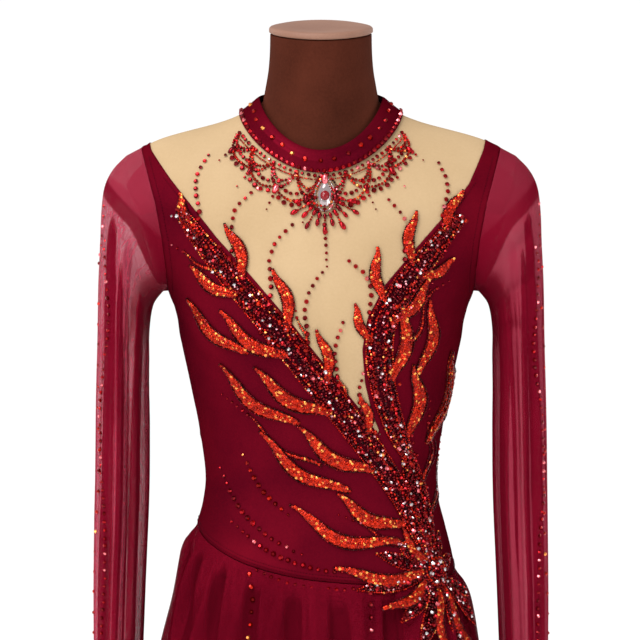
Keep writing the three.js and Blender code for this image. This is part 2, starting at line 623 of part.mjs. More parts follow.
// The sheer skirt, gathered all round and wrapped over itself at the left front.
function buildSkirt() {
  const columns = Math.round((FOLDS * POINTS_PER_FOLD * (360 + WRAP_UNDER)) / 360);
  const degrees = steps(columns + 1, (i) => (i / columns) * (360 + WRAP_UNDER));
  const tuck = (angle) => WRAP_STEP * smooth(360 - WRAP_UNDER, 360 - WRAP_UNDER / 4, angle);
  const place = (angle, share, inset) => {
    const turn = (WRAP_EDGE + angle) * DEG;
    return skirtPoint(turn, share * skirtLength(turn), tuck(angle) + inset);
  };
  const grid = (inset) => SKIRT_ROWS.map((share) => degrees.map((angle) => place(angle, share, inset)));
  return wall(grid(0), grid(SHEER_CLOTH), false);
}

// The opaque skirt beneath it, clear of the form within and of the folds without.
function buildUnderskirt() {
  const turns = steps(UNDERSKIRT_SEGMENTS, (i) => (i / UNDERSKIRT_SEGMENTS) * 2 * Math.PI);
  const place = (turn, share, inset) => {
    const below = share * skirtLength(turn, UNDERSKIRT_HEM_RISE);
    return skirtPoint(turn, below, UNDERSKIRT_INSET + foldSwing(below) + inset, 0);
  };
  const grid = (inset) => UNDERSKIRT_ROWS.map((share) => turns.map((turn) => place(turn, share, inset)));
  return wall(grid(0), grid(SHEER_CLOTH), true);
}

// ---------------------------------------------------------------- ornaments
// A strip with a raised middle along stations { x, z, half, rise }, laid on a surface that maps
// x, z and a distance out to a point.
function strip(stations, surface) {
  return stack(
    stations.map(({ x, z, half, rise }, i) => {
      const before = stations[Math.max(i - 1, 0)];
      const after = stations[Math.min(i + 1, stations.length - 1)];
      const along = new THREE.Vector2(after.x - before.x, after.z - before.z).normalize();
      const corner = (side, out) => surface(x - side * half * along.y, z + side * half * along.x, out);
      const edge = ORNAMENT_LIFT + rise * ORNAMENT_EDGE;
      return [
        corner(-ORNAMENT_SOLE, ORNAMENT_LIFT),
        corner(ORNAMENT_SOLE, ORNAMENT_LIFT),
        corner(1, edge),
        corner(0, ORNAMENT_LIFT + rise),
        corner(-1, edge),
      ];
    }),
  );
}

// The stations of a leaf from its root, pointed at the far end and bending as it goes.
function leafStations({ x, z, angle, length, width, bend }) {
  return steps(LEAF_STATIONS, (i) => {
    const share = i / (LEAF_STATIONS - 1);
    const heading = angle + bend * share;
    return {
      x: x + Math.cos(heading) * length * share,
      z: z + Math.sin(heading) * length * share,
      half: Math.max(LEAF_TIP, (width / 2) * Math.sin(Math.PI * mix(0.14, 1, share) ** 1.15)),
      rise: LEAF_RISE,
    };
  });
}

function joined(geometries) {
  return geometryOf(geometries.map(solidOf).reduce((whole, solid) => whole.add(solid)));
}

function buildGarland(line, leaves) {
  const curve = new THREE.SplineCurve(line.map(([x, z]) => new THREE.Vector2(x, z)));
  const band = steps(GARLAND_STATIONS, (i) => {
    const share = i / (GARLAND_STATIONS - 1);
    const { x, y: z } = curve.getPointAt(share);
    const taper = Math.min(1, GARLAND_TIP + 5 * share, GARLAND_TIP + 3.2 * (1 - share));
    return { x, z, half: GARLAND_HALF * taper, rise: ORNAMENT_RISE };
  });
  const grown = leaves.map((leaf) => {
    const root = curve.getPointAt(leaf.at);
    const angle = curve.getTangentAt(leaf.at).angle() + leaf.side * leaf.spread * DEG;
    return strip(leafStations({ ...leaf, x: root.x, z: root.y, angle }), facePoint);
  });
  return joined([strip(band, facePoint), ...grown]);
}

// The outermost face at the hip: the bodice above the seam and the crests of the folds below it.
function hipSurface(turn, level) {
  const below = seamLevel(turn) - SKIRT_SEAM_GAP - level;
  return below < 0 ? figureBase(turn, placeAtLevel(turn, level)) : skirtPoint(turn, below, 0, 1);
}

// A point on it, from millimetres across and up from the rosette's middle.
function hipPoint(across, up, out) {
  const turn = HIP.turn * DEG + across / HIP.bow;
  const level = HIP.level + up;
  return hipSurface(turn, level).addScaledVector(normalOf(hipSurface, turn, level, 0.02, 3), out);
}

// A low dome of rings with an outline radius(angle), laid on a surface.
function dome(radius, lift, rise, surface) {
  const ring = (size, out) =>
    steps(DOME_SEGMENTS, (i) => {
      const angle = (i / DOME_SEGMENTS) * 2 * Math.PI;
      const [across, up] = radius(angle);
      return surface(across * size, up * size, lift + out);
    });
  return stack([ring(1, 0), ring(1, rise * 0.35), ring(0.82, rise * 0.75), ring(0.45, rise)]);
}

function buildHipSpray() {
  const scallop = (angle) => HIP.radius * (1 + HIP.scallop * Math.cos(HIP.petals * angle));
  const outline = (angle) => [scallop(angle) * Math.cos(angle), scallop(angle) * Math.sin(angle)];
  const rosette = dome(outline, ORNAMENT_LIFT, HIP.rise, hipPoint);
  const leaves = HIP_LEAVES.map((leaf) => {
    const angle = leaf.angle * DEG;
    const root = { x: (HIP.radius / 2) * Math.cos(angle), z: (HIP.radius / 2) * Math.sin(angle) };
    return strip(leafStations({ ...leaf, ...root, angle, length: leaf.length + HIP.radius / 2 }), hipPoint);
  });
  return joined([rosette, ...leaves]);
}

// A drop with its point upwards at the middle of the collar's foot.
function buildPendant() {
  const outline = (angle) => {
    const narrow = 1 - 0.45 * Math.max(0, Math.sin(angle)) ** 1.5;
    return [PENDANT.halfWidth * narrow * Math.cos(angle), PENDANT.halfHeight * Math.sin(angle)];
  };
  const surface = (across, up, out) => facePoint(PENDANT.x + across, PENDANT.level + up, out);
  return dome(outline, PENDANT.lift, PENDANT.rise, surface);
}

// ---------------------------------------------------------------- the whole
const FINISH = {
  wine_stretch: { color: 0x700f22, roughness: 0.55, metalness: 0 },
  wine_net: { color: 0x8a2a38, roughness: 0.7, metalness: 0 },
  wine_lining: { color: 0x5f0c1e, roughness: 0.75, metalness: 0 },
  nude_net: { color: 0xeacd9f, roughness: 0.75, metalness: 0 },
  form_cloth: { color: 0x5c2e22, roughness: 0.95, metalness: 0 },
  form_lid: { color: 0xac806b, roughness: 0.6, metalness: 0 },
  stand_metal: { color: 0x2c2a2b, roughness: 0.4, metalness: 0.8 },
  red_beads: { color: 0xc3321f, roughness: 0.3, metalness: 0.1 },
  crystal: { color: 0xd9dce2, roughness: 0.12, metalness: 0.2 },
};

const dress = new THREE.Group();
dress.name = "dress_on_form";

function place(name, geometry, finish) {
  const mesh = new THREE.Mesh(geometry, new THREE.MeshStandardMaterial(FINISH[finish]));
  mesh.name = name;
  dress.add(mesh);
}

place("stand_base", buildBase(), "stand_metal");
place("stand_pole", buildPole(), "stand_metal");
place("form_torso", buildForm(), "form_cloth");
place("form_neck_lid", buildLid(), "form_lid");

const body = buildBody();
place("bodice_front", geometryOf(body.bodice_front), "wine_stretch");
place("bodice_back", geometryOf(body.bodice_back), "wine_stretch");
place("yoke_front", geometryOf(body.yoke_front), "nude_net");
place("yoke_back_left", geometryOf(body.yoke_back_left), "nude_net");
place("yoke_back_right", geometryOf(body.yoke_back_right), "nude_net");
place("collar", buildCollar(), "wine_stretch");
place("collar_button", buildButton(), "wine_stretch");

place("sleeve_left", buildSleeve(1), "wine_net");
place("sleeve_right", buildSleeve(-1), "wine_net");
place("skirt_outer", buildSkirt(), "wine_net");
place("skirt_under", buildUnderskirt(), "wine_lining");

place("applique_right", buildGarland(GARLAND_RIGHT, RIGHT_LEAVES), "red_beads");
place("applique_left", buildGarland(GARLAND_LEFT, LEFT_LEAVES), "red_beads");
place("applique_hip", buildHipSpray(), "red_beads");
place("collar_pendant", buildPendant(), "crystal");

export default dress;
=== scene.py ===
"""A lyrical dance dress worn by a limbless dress form on its stand.

Tables and shape functions are in millimetres, a dressmaker's unit, and every mesh is made in metres.
+Z is up, the front of the dress faces -Y and the wearer's left is +X. One figure surface carries
everything above the waist seam: cloth, seams and beadwork are all placed on it.
"""

import logging
import math
from collections.abc import Callable, Sequence
from dataclasses import dataclass
from enum import Enum
from functools import cache

import bmesh
import bpy
import numpy as np
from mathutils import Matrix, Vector

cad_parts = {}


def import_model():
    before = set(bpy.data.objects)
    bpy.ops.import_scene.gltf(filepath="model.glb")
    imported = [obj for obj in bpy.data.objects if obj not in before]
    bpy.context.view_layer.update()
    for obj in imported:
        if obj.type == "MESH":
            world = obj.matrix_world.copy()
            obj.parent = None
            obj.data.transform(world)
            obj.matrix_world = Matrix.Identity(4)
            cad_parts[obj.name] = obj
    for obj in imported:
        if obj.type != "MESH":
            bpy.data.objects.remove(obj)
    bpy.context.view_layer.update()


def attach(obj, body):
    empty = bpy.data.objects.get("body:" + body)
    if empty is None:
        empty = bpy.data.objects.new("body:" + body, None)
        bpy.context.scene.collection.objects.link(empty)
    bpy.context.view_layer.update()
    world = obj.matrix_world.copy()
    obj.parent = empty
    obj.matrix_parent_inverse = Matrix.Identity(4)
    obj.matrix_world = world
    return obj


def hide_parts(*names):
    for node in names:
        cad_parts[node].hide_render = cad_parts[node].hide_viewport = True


Array = np.ndarray
Surface = Callable[[Array, Array, float], Array]

MM = 0.001
DEG = math.pi / 180
TAU = 2 * math.pi
LOG = logging.getLogger("dance_dress")

# The figure from hip to collar, read by row number: height at the sides, half width, reach to the front
# and back, middle, squareness, and how far the front sinks and the back climbs from the sides.
FIGURE_ROWS = np.array([
    (850, 150, 106, 118, 0, 2.15, 0, 0),
    (900, 147, 106, 116, 0, 2.15, 0, 0),
    (946, 140, 103, 108, 0, 2.15, 0, 0),
    (983, 131, 98, 99, 0, 2.15, 0, 0),
    (1009, 124.5, 94, 93, 0, 2.15, 0, 0),
    (1039, 122, 92, 90, 0, 2.15, 0, 0),
    (1089, 128.5, 98, 93, 0, 2.15, 0, 0),
    (1120, 134.5, 105, 96, 0, 2.15, 0, 0),
    (1152, 141, 111, 99, 0, 2.15, 0, 0),
    (1184, 148, 115, 102, 0, 2.15, 0, 0),
    (1216, 154, 115, 104, 0, 2.15, 0, 0),
    (1250, 168, 112, 105, 0, 2.1, 2, 1),
    (1290, 193, 107, 103, 0, 2.05, 7, 2),
    (1327, 213, 101, 99, 0, 2.0, 14, 3),
    (1343, 218, 97, 96, 0, 2.0, 18, 4),
    (1359, 211, 93, 92, 0, 1.95, 23, 4),
    (1375, 196, 89, 87, 0, 1.9, 30, 5),
    (1391, 167.5, 85, 81, -1, 1.8, 38, 6),
    (1407, 109, 81, 74, -3, 1.8, 47, 6),
    (1418, 82, 78, 67, -4, 1.95, 54, 6),
    (1433, 63, 66, 60, -5, 2.0, 48, 5),
], dtype=float)
# Where the neck band begins and ends in those rows.
COLLAR_FOOT = 19.0
COLLAR_TOP = 20.0
# The gap below the waist seam, and the length over which the skirt's folds open.
SEAM_GAP = 0.9
SKIRT_LENGTH = 620.0
# From a turned edge to the stitches that hold it.
STITCH_INSET = 6.4
# The rosette's turn in degrees and its height, and how far the hip is from the middle there.
ROSETTE = (-34.0, 943.0)
HIP_RADIUS = 122.0
# What the form gives up beneath the cloth at each figure row.
FORM_INSET = np.array([7.5, 7.5, 8.5, 7.5, 5.0] + [3.0] * 12 + [3.4, 3.8, 3.5, 4.5])
# The bare neck above the neck band, in the figure's columns.
NECK_ROWS = np.array([
    (1447, 57, 59, 55, -7, 2.0, 31, 4),
    (1462, 54.5, 57, 53, -8, 2.0, 15, 4),
    (1480, 53, 55, 52, -9, 2.0, 7, 4),
    (1500, 52.5, 54, 52, -10, 2.0, 4, 4),
], dtype=float)
# The seam between bodice and skirt: turn in degrees and height.
WAIST_SEAM = np.array([
    (-180, 984), (-150, 973), (-120, 956), (-90, 943), (-60, 937), (-30, 935), (0, 936), (45, 939),
    (90, 946), (135, 962), (180, 984),
], dtype=float)
NECKLINE_RIGHT = [
    (66, 1083), (40, 1122), (8, 1165), (-31, 1215), (-72, 1261), (-106, 1297), (-134, 1331),
    (-155, 1355), (-176, 1381), (-184, 1402),
]
NECKLINE_LEFT = [
    (66, 1083), (53, 1115), (45, 1150), (42, 1186), (47, 1218), (65, 1251), (97, 1287), (131, 1324),
    (152, 1350), (168, 1381), (176, 1402),
]
BACK_YOKE = [
    (-184, 1402), (-176, 1381), (-154, 1350), (-110, 1322), (-60, 1303), (0, 1297), (60, 1303),
    (110, 1322), (150, 1352), (168, 1381), (176, 1402),
]
ARMHOLE = [
    (160, 1205), (160, 1236), (160, 1258), (163, 1290), (170, 1330), (180, 1362), (188, 1384),
    (192, 1400),
]
# Sleeve rings: outer x and z, inner x and z, half depth, and the depth of its folds.
SLEEVE_RINGS = np.array([
    (203, 1373, 165, 1231, 61, 0),
    (217, 1359, 170, 1225, 62, 0.5),
    (226, 1342, 175, 1217, 62, 1.2),
    (230, 1318, 178, 1205, 61, 2),
    (232, 1285, 180, 1188, 60, 3),
    (235, 1240, 181, 1165, 59, 4),
    (237, 1180, 182, 1130, 58, 5),
    (240, 1100, 182, 1080, 57, 5.5),
    (242, 1010, 183, 1005, 56, 6),
    (244, 900, 188, 900, 55, 6),
    (244, 792, 193, 792, 53, 5.5),
], dtype=float)
# Skirt rings: height, half width, reach to the front and back.
SKIRT_RINGS = np.array([
    (320, 262, 215, 222),
    (600, 209, 172, 180),
    (790, 175, 142, 150),
    (866, 161.5, 128, 134),
    (898, 155.5, 121, 127),
    (930, 149, 114, 120),
    (961, 141.5, 108, 111),
    (990, 134, 102, 103),
], dtype=float)


# ---------------------------------------------------------------- curves
def catmull(rows: Array, place: Array) -> Array:
    """Runs smoothly through the rows of a table.

    Args:
        rows: The table, one row a knot.
        place: Where to read it, 0 being the first row, in any shape.

    Returns:
        The columns at each place, along a new last axis.
    """
    place = np.clip(np.asarray(place, float), 0, len(rows) - 1 - 1e-9)
    i = np.floor(place).astype(int)
    f = (place - i)[..., None]
    last = len(rows) - 1
    a, b, c, d = (rows[np.clip(i + k, 0, last)] for k in (-1, 0, 1, 2))
    return 0.5 * (2 * b + (c - a) * f + (2 * a - 5 * b + 4 * c - d) * f**2 + (3 * b - a - 3 * c + d) * f**3)


def smooth_line(points: Sequence[tuple[float, float]], count: int) -> Array:
    """Runs a smooth line through points, evenly spaced in length.

    Args:
        points: The points, in order.
        count: How many points the line has.

    Returns:
        The line, one point a row.
    """
    knots = np.array(points, float)
    fine = catmull(knots, np.linspace(0, len(knots) - 1, count * 8))
    length = np.concatenate([[0], np.cumsum(np.linalg.norm(np.diff(fine, axis=0), axis=1))])
    even = np.linspace(0, length[-1], count)
    return np.stack([np.interp(even, length, fine[:, k]) for k in range(fine.shape[1])], axis=1)


def ease(low: Array | float, high: Array | float, value: Array) -> Array:
    """Rises smoothly from 0 at low to 1 at high."""
    share = np.clip((np.asarray(value, float) - low) / (high - low), 0, 1)
    return share * share * (3 - 2 * share)


def signed_power(value: Array, power: Array) -> Array:
    """Raises the size of a number to a power and keeps its sign."""
    return np.sign(value) * np.abs(value) ** power


def bisect(rising: Callable[[Array], Array], target: Array, low: float, high: float) -> Array:
    """Finds where a rising function meets each target.

    Args:
        rising: The function.
        target: The values to meet.
        low: The lowest argument.
        high: The highest.

    Returns:
        The argument for each target.
    """
    shape = np.shape(target)
    bottom, top = np.full(shape, float(low)), np.full(shape, float(high))
    for _ in range(40):
        middle = (bottom + top) / 2
        below = rising(middle) < target
        bottom = np.where(below, middle, bottom)
        top = np.where(below, top, middle)
    return bottom


def unit(vectors: Array) -> Array:
    """Scales vectors on the last axis to length one."""
    return vectors / np.maximum(np.linalg.norm(vectors, axis=-1, keepdims=True), 1e-12)


def direction(angle: Array | float) -> Array:
    """The direction of an angle in radians, as across and up."""
    return np.stack([np.cos(angle), np.sin(angle)], axis=-1)


def left_of(along: Array) -> Array:
    """The directions a quarter turn to the left of others, as across and up."""
    return np.stack([-along[..., 1], along[..., 0]], axis=-1)


def waves(seed: int, count: int, low: float, high: float) -> Callable[[Array], Array]:
    """Makes a smooth uneven function with values about -1 to 1.

    Args:
        seed: Fixes the random draw.
        count: How many sines are added.
        low: The lowest whole number of waves in a turn.
        high: The highest.

    Returns:
        A function of an angle in radians that closes on itself after a turn.
    """
    rng = np.random.default_rng(seed)
    turns = rng.integers(int(low), int(high) + 1, count)
    phases = rng.uniform(0, TAU, count)
    return lambda angle: sum(np.sin(n * angle + p) for n, p in zip(turns, phases)) / math.sqrt(count)


# ---------------------------------------------------------------- the figure
@dataclass(frozen=True)
class Figure:
    """The general figure that the dress is cut for.

    Attributes:
        bust: Side, height, width, height of spread and projection of the bust cups.
    """

    bust: tuple[float, float, float, float, float] = (82, 1192, 46, 44, 11)

    def ring(self, row: Array, turn: Array) -> Array:
        """Places a point of one ring.

        Args:
            row: The ring, as a row of the table.
            turn: The angle; 0 is the left side and -90 degrees the front.

        Returns:
            The point.
        """
        c, s = np.cos(turn), np.sin(turn)
        level, half, front, back, centre, square, drop, rise = np.moveaxis(row, -1, 0)
        ahead = s < 0
        x = half * signed_power(c, 2 / square)
        y = centre + np.where(ahead, front, back) * signed_power(s, 2 / square)
        z = level + np.where(ahead, -drop, rise) * np.abs(s) ** 1.5
        return np.stack([x, y, z], axis=-1)

    def base(self, turn: Array, place: Array) -> Array:
        """The surface itself at a turn in radians and a row of the table.

        Args:
            turn: The angle round the figure, in radians.
            place: The row of the figure's table.

        Returns:
            The point on the surface.
        """
        turn, place = np.broadcast_arrays(np.asarray(turn, float), np.asarray(place, float))
        point = self.ring(catmull(FIGURE_ROWS, place), turn)
        side, level, width, height, out = self.bust
        across = (np.abs(point[..., 0]) - side) / width
        up = (point[..., 2] - level) / height
        point[..., 1] -= np.clip(-2 * np.sin(turn), 0, 1) * out * np.exp(-(across**2 + up**2) / 2)
        return point

    def normal(self, turn: Array, place: Array) -> Array:
        """The outward direction at a point of the surface.

        Args:
            turn: The angle round the figure, in radians.
            place: The row of the figure's table.

        Returns:
            A direction of length one.
        """
        across = self.base(turn + 0.004, place) - self.base(turn - 0.004, place)
        up = self.base(turn, place + 0.02) - self.base(turn, place - 0.02)
        return unit(np.cross(across, up))

    def point(self, turn: Array, place: Array, out: Array = 0.0) -> Array:
        """A point moved out from the surface."""
        return self.base(turn, place) + self.normal(turn, place) * np.asarray(out)[..., None]

    def place_at_level(self, turn: Array, level: Array) -> Array:
        """The row place where the surface has a height at a turn."""
        turn, level = np.broadcast_arrays(np.asarray(turn, float), np.asarray(level, float))
        return bisect(lambda t: self.base(turn, t)[..., 2], level, 0, COLLAR_TOP - 1e-6)

    def turn_at_x(self, x: Array, place: Array, side: int) -> Array:
        """The turn of the front (side -1) or back (side 1) that has an x at a row place."""
        row = catmull(FIGURE_ROWS, place)
        return side * np.arccos(signed_power(np.clip(x / row[..., 1], -1, 1), row[..., 5] / 2))

    def face_place(self, x: Array, z: Array, side: int = -1) -> tuple[Array, Array]:
        """The turn and row place behind points of the front or back view.

        Args:
            x: The points across.
            z: Their heights.
            side: -1 for the front and 1 for the back.

        Returns:
            The turns and the row places.
        """
        x, z = np.broadcast_arrays(np.asarray(x, float), np.asarray(z, float))
        place = bisect(lambda t: self.base(self.turn_at_x(x, t, side), t)[..., 2], z, 0, COLLAR_TOP - 1e-6)
        return self.turn_at_x(x, place, side), place

    def face(self, x: Array, z: Array, out: Array = 0.0, side: int = -1) -> Array:
        """Points of the front or back view laid on the surface and moved out."""
        turn, place = self.face_place(x, z, side)
        return self.point(turn, place, out)


FIGURE = Figure()


def seam_level(turn: Array) -> Array:
    """The height of the waist seam at a turn.

    Args:
        turn: The angle round the figure, in radians.

    Returns:
        The height.
    """
    degrees = (np.asarray(turn, float) / DEG + 180) % 360 - 180
    knots = WAIST_SEAM[:-1]
    ring = np.concatenate([knots[-2:] - (360, 0), knots, knots[:3] + (360, 0)])
    i = np.clip(np.searchsorted(ring[:, 0], degrees, side="right") - 1, 1, len(ring) - 3)
    share = (degrees - ring[i, 0]) / (ring[i + 1, 0] - ring[i, 0])
    return catmull(ring[:, 1:], i + share)[..., 0]


# ---------------------------------------------------------------- meshes
def grid_faces(rows: int, columns: int, wrap: bool) -> Array:
    """The quads of a grid whose columns run counterclockwise and whose rows run up.

    Args:
        rows: How many rows of points.
        columns: How many points a row.
        wrap: Whether the last column joins the first.

    Returns:
        The quads as vertex numbers.
    """
    r, c = np.meshgrid(np.arange(rows - 1), np.arange(columns if wrap else columns - 1), indexing="ij")
    after = (c + 1) % columns
    quads = [r * columns + c, r * columns + after, (r + 1) * columns + after, (r + 1) * columns + c]
    return np.stack(quads, axis=-1).reshape(-1, 4)


def link(obj: bpy.types.Object) -> bpy.types.Object:
    """Puts an object in the scene."""
    bpy.context.scene.collection.objects.link(obj)
    return obj


def mesh_piece(
    name: str,
    points: Array,
    faces: Sequence[Sequence[int]],
    uv: Array | None = None,
    fields: dict[str, Array] | None = None,
    smooth: bool = True,
) -> bpy.types.Object:
    """Makes a mesh object.

    Args:
        name: The piece's name.
        points: Its vertices in millimetres, in an array of any shape.
        faces: Its faces as vertex numbers.
        uv: Where each vertex lies on the flat cloth, in metres.
        fields: Numbers for each vertex, by name.
        smooth: Whether the faces are shaded smooth.

    Returns:
        The object, linked to the scene.
    """
    mesh = bpy.data.meshes.new(name)
    vertices = (np.asarray(points).reshape(-1, 3) * MM).tolist()
    mesh.from_pydata(vertices, [], faces.tolist() if isinstance(faces, np.ndarray) else faces)
    if uv is not None:
        corners = np.empty(len(mesh.loops), dtype=np.int32)
        mesh.loops.foreach_get("vertex_index", corners)
        layer = mesh.uv_layers.new(name="cloth")
        layer.data.foreach_set("uv", np.asarray(uv).reshape(-1, 2)[corners].astype(np.float32).ravel())
    for key, values in (fields or {}).items():
        attribute = mesh.attributes.new(key, "FLOAT", "POINT")
        attribute.data.foreach_set("value", np.asarray(values, np.float32).ravel())
    if smooth:
        mesh.shade_smooth()
    else:
        mesh.shade_flat()
    mesh.update()
    return link(bpy.data.objects.new(name, mesh))


def flat_uv(grid: Array) -> Array:
    """Cloth coordinates of a grid in metres: along each row and up each column.

    Args:
        grid: The points, in millimetres.

    Returns:
        Each point across and up the flat cloth.
    """
    across = np.linalg.norm(np.diff(grid, axis=1), axis=-1)
    up = np.linalg.norm(np.diff(grid, axis=0), axis=-1)
    u = np.concatenate([np.zeros((grid.shape[0], 1)), np.cumsum(across, axis=1)], axis=1)
    v = np.concatenate([np.zeros((1, grid.shape[1])), np.cumsum(up, axis=0)], axis=0)
    return np.stack([u - u.mean(axis=1, keepdims=True), v], axis=-1) * MM


def ring_uv(rings: Array) -> Array:
    """Cloth coordinates of closed rings in metres: round each and up each column."""
    return flat_uv(np.concatenate([rings, rings[:, :1]], axis=1))[:, :-1]


def clip_grid(values: Array, inside: Array) -> tuple[Array, list[list[int]]]:
    """Cuts a grid of vertex values along the line where a field changes sign.

    Args:
        values: Rows, columns and any number of values a vertex.
        inside: The field, above zero where the cloth is kept.

    Returns:
        The kept vertices' values and the faces.
    """
    rows, columns, width = values.shape
    flat, sign = values.reshape(-1, width), inside.reshape(-1)
    quads = grid_faces(rows, columns, False)
    kept = (sign[quads] > 0).sum(axis=1)
    extra: list[Array] = []
    cuts: dict[tuple[int, int], int] = {}

    def cut(a: int, b: int) -> int:
        """The vertex where the edge from a to b meets the line."""
        key = (min(a, b), max(a, b))
        if key not in cuts:
            share = sign[key[0]] / (sign[key[0]] - sign[key[1]])
            extra.append(flat[key[0]] + (flat[key[1]] - flat[key[0]]) * share)
            cuts[key] = len(flat) + len(extra) - 1
        return cuts[key]

    faces = quads[kept == 4].tolist()
    for quad in quads[(kept > 0) & (kept < 4)].tolist():
        face: list[int] = []
        for a, b in zip(quad, quad[1:] + quad[:1]):
            if sign[a] > 0:
                face.append(a)
            if (sign[a] > 0) != (sign[b] > 0):
                face.append(cut(a, b))
        faces.append(face)
    everything = np.concatenate([flat, np.array(extra)]) if extra else flat
    used = sorted({i for face in faces for i in face})
    renumber = {old: new for new, old in enumerate(used)}
    return everything[used], [[renumber[i] for i in face] for face in faces]


def thicken(obj: bpy.types.Object, thickness: float) -> None:
    """Gives a one-sided sheet its wall inwards.

    Args:
        obj: The sheet.
        thickness: The wall, in millimetres.
    """
    wall = obj.modifiers.new("wall", "SOLIDIFY")
    wall.thickness = thickness * MM
    wall.offset = -1.0
    wall.use_rim = True
    wall.use_even_offset = True
    bake(obj)


def bake(obj: bpy.types.Object) -> None:
    """Applies an object's modifiers and leaves a plain mesh.

    Args:
        obj: The object.
    """
    evaluated = obj.evaluated_get(bpy.context.evaluated_depsgraph_get())
    mesh = bpy.data.meshes.new_from_object(evaluated)
    obj.modifiers.clear()
    obj.data = mesh
    mesh.name = obj.name


def stacked(name: str, rings: Array, uv: Array | None = None) -> bpy.types.Object:
    """A closed body of stacked rings, each counterclockwise from above, with a flat fan at each end.

    Args:
        name: The piece's name.
        rings: The rings, from the bottom up.
        uv: Their cloth coordinates.

    Returns:
        The piece.
    """
    rows, columns, _ = rings.shape
    faces = grid_faces(rows, columns, True).tolist()
    faces.append(list(range(columns))[::-1])
    faces.append([(rows - 1) * columns + c for c in range(columns)])
    return mesh_piece(name, rings, faces, uv)


def lathe(profile: Sequence[tuple[float, float]], count: int = 96) -> Array:
    """Turns a profile about the vertical axis.

    Args:
        profile: Radius and height, from the bottom up.
        count: Points round.

    Returns:
        The rings.
    """
    turn = np.arange(count) * TAU / count
    r, z = np.array(profile, float).T[:, :, None]
    return np.stack([r * np.cos(turn), r * np.sin(turn), z + 0 * turn], axis=-1)


# ---------------------------------------------------------------- shader wiring
class Wiring:
    """Adds and joins the nodes of one tree."""

    def __init__(self, tree: bpy.types.NodeTree) -> None:
        """Starts on an empty tree."""
        self.tree = tree
        tree.nodes.clear()

    def add(self, kind: str, inputs: dict | None = None, **settings: object) -> bpy.types.Node:
        """Adds a node.

        Args:
            kind: The node's type.
            inputs: A value or an output socket for each input, by name or number.
            settings: The node's own options.

        Returns:
            The node.
        """
        node = self.tree.nodes.new(kind)
        for key, value in settings.items():
            setattr(node, key, value)
        for key, value in (inputs or {}).items():
            socket = node.inputs[key]
            if isinstance(value, bpy.types.NodeSocket):
                self.tree.links.new(value, socket)
            else:
                socket.default_value = value
        return node

    def math(self, operation: str, *values: object) -> bpy.types.NodeSocket:
        """Works out a number from one to three others."""
        node = self.add("ShaderNodeMath", dict(enumerate(values)), operation=operation)
        return node.outputs[0]

    def scaled(self, value: bpy.types.NodeSocket, start: tuple[float, float],
               end: tuple[float, float] = (0.0, 1.0)) -> bpy.types.NodeSocket:
        """Moves a number from one range to another and keeps it within that."""
        limits = dict(enumerate((*start, *end), 1))
        return self.add("ShaderNodeMapRange", {"Value": value, **limits}).outputs[0]

    def attribute(self, name: str) -> bpy.types.NodeSocket:
        """Reads a number that the mesh holds."""
        return self.add("ShaderNodeAttribute", attribute_name=name, attribute_type="GEOMETRY").outputs["Fac"]

    def blend(self, share: object, low: object, high: object) -> bpy.types.NodeSocket:
        """Mixes a share of the second colour into the first."""
        return self.add("ShaderNodeMix", {0: share, 6: low, 7: high}, data_type="RGBA").outputs[2]

    def join(self, value: bpy.types.NodeSocket, node: bpy.types.Node, key: str) -> None:
        """Leads a value into an input of a node."""
        self.tree.links.new(value, node.inputs[key])

    def emboss(self, shader: bpy.types.Node, height: bpy.types.NodeSocket, strength: float,
               depth: float) -> None:
        """Raises a shader's surface by a height of so many metres."""
        bump = self.add("ShaderNodeBump", {"Strength": strength, "Distance": depth, "Height": height})
        self.join(bump.outputs[0], shader, "Normal")


def shader_group(name: str, inputs: dict[str, tuple[str, object]], outputs: dict[str, str]) -> tuple[
        Wiring, bpy.types.Node, bpy.types.Node]:
    """Starts a shader node group.

    Args:
        name: The group's name.
        inputs: The socket type and default value of each input.
        outputs: The socket type of each output.

    Returns:
        Its wiring, its input node and its output node.
    """
    tree = bpy.data.node_groups.new(name, "ShaderNodeTree")
    for key, (kind, value) in inputs.items():
        socket = tree.interface.new_socket(name=key, in_out="INPUT", socket_type=kind)
        if value is not None:
            socket.default_value = value
    for key, kind in outputs.items():
        tree.interface.new_socket(name=key, in_out="OUTPUT", socket_type=kind)
    wiring = Wiring(tree)
    return wiring, wiring.add("NodeGroupInput"), wiring.add("NodeGroupOutput")


@cache
def knit_group() -> bpy.types.NodeTree:
    """The wales and courses of a fine knit as a height, from cloth coordinates.

    Returns:
        The group.
    """
    kinds = {"Vector": ("NodeSocketVector", None), "Pitch": ("NodeSocketFloat", 0.0009)}
    w, ins, outs = shader_group("fine_knit", kinds, {"Height": "NodeSocketFloat"})
    parts = w.add("ShaderNodeSeparateXYZ", {0: ins.outputs["Vector"]})
    turns = w.math("DIVIDE", TAU, ins.outputs["Pitch"])
    across = w.math("MULTIPLY", parts.outputs[0], turns)
    lean = w.math("MULTIPLY", w.math("ABSOLUTE", w.math("SINE", w.math("MULTIPLY", across, 0.5))), 2.4)
    wales = w.math("ABSOLUTE", w.math("SINE", w.math("MULTIPLY", across, 0.5)))
    courses = w.math("SINE", w.math("ADD", w.math("MULTIPLY", parts.outputs[1], turns), lean))
    height = w.math("ADD", w.math("MULTIPLY", courses, 0.35), w.math("MULTIPLY", wales, 0.65))
    w.join(height, outs, "Height")
    return w.tree


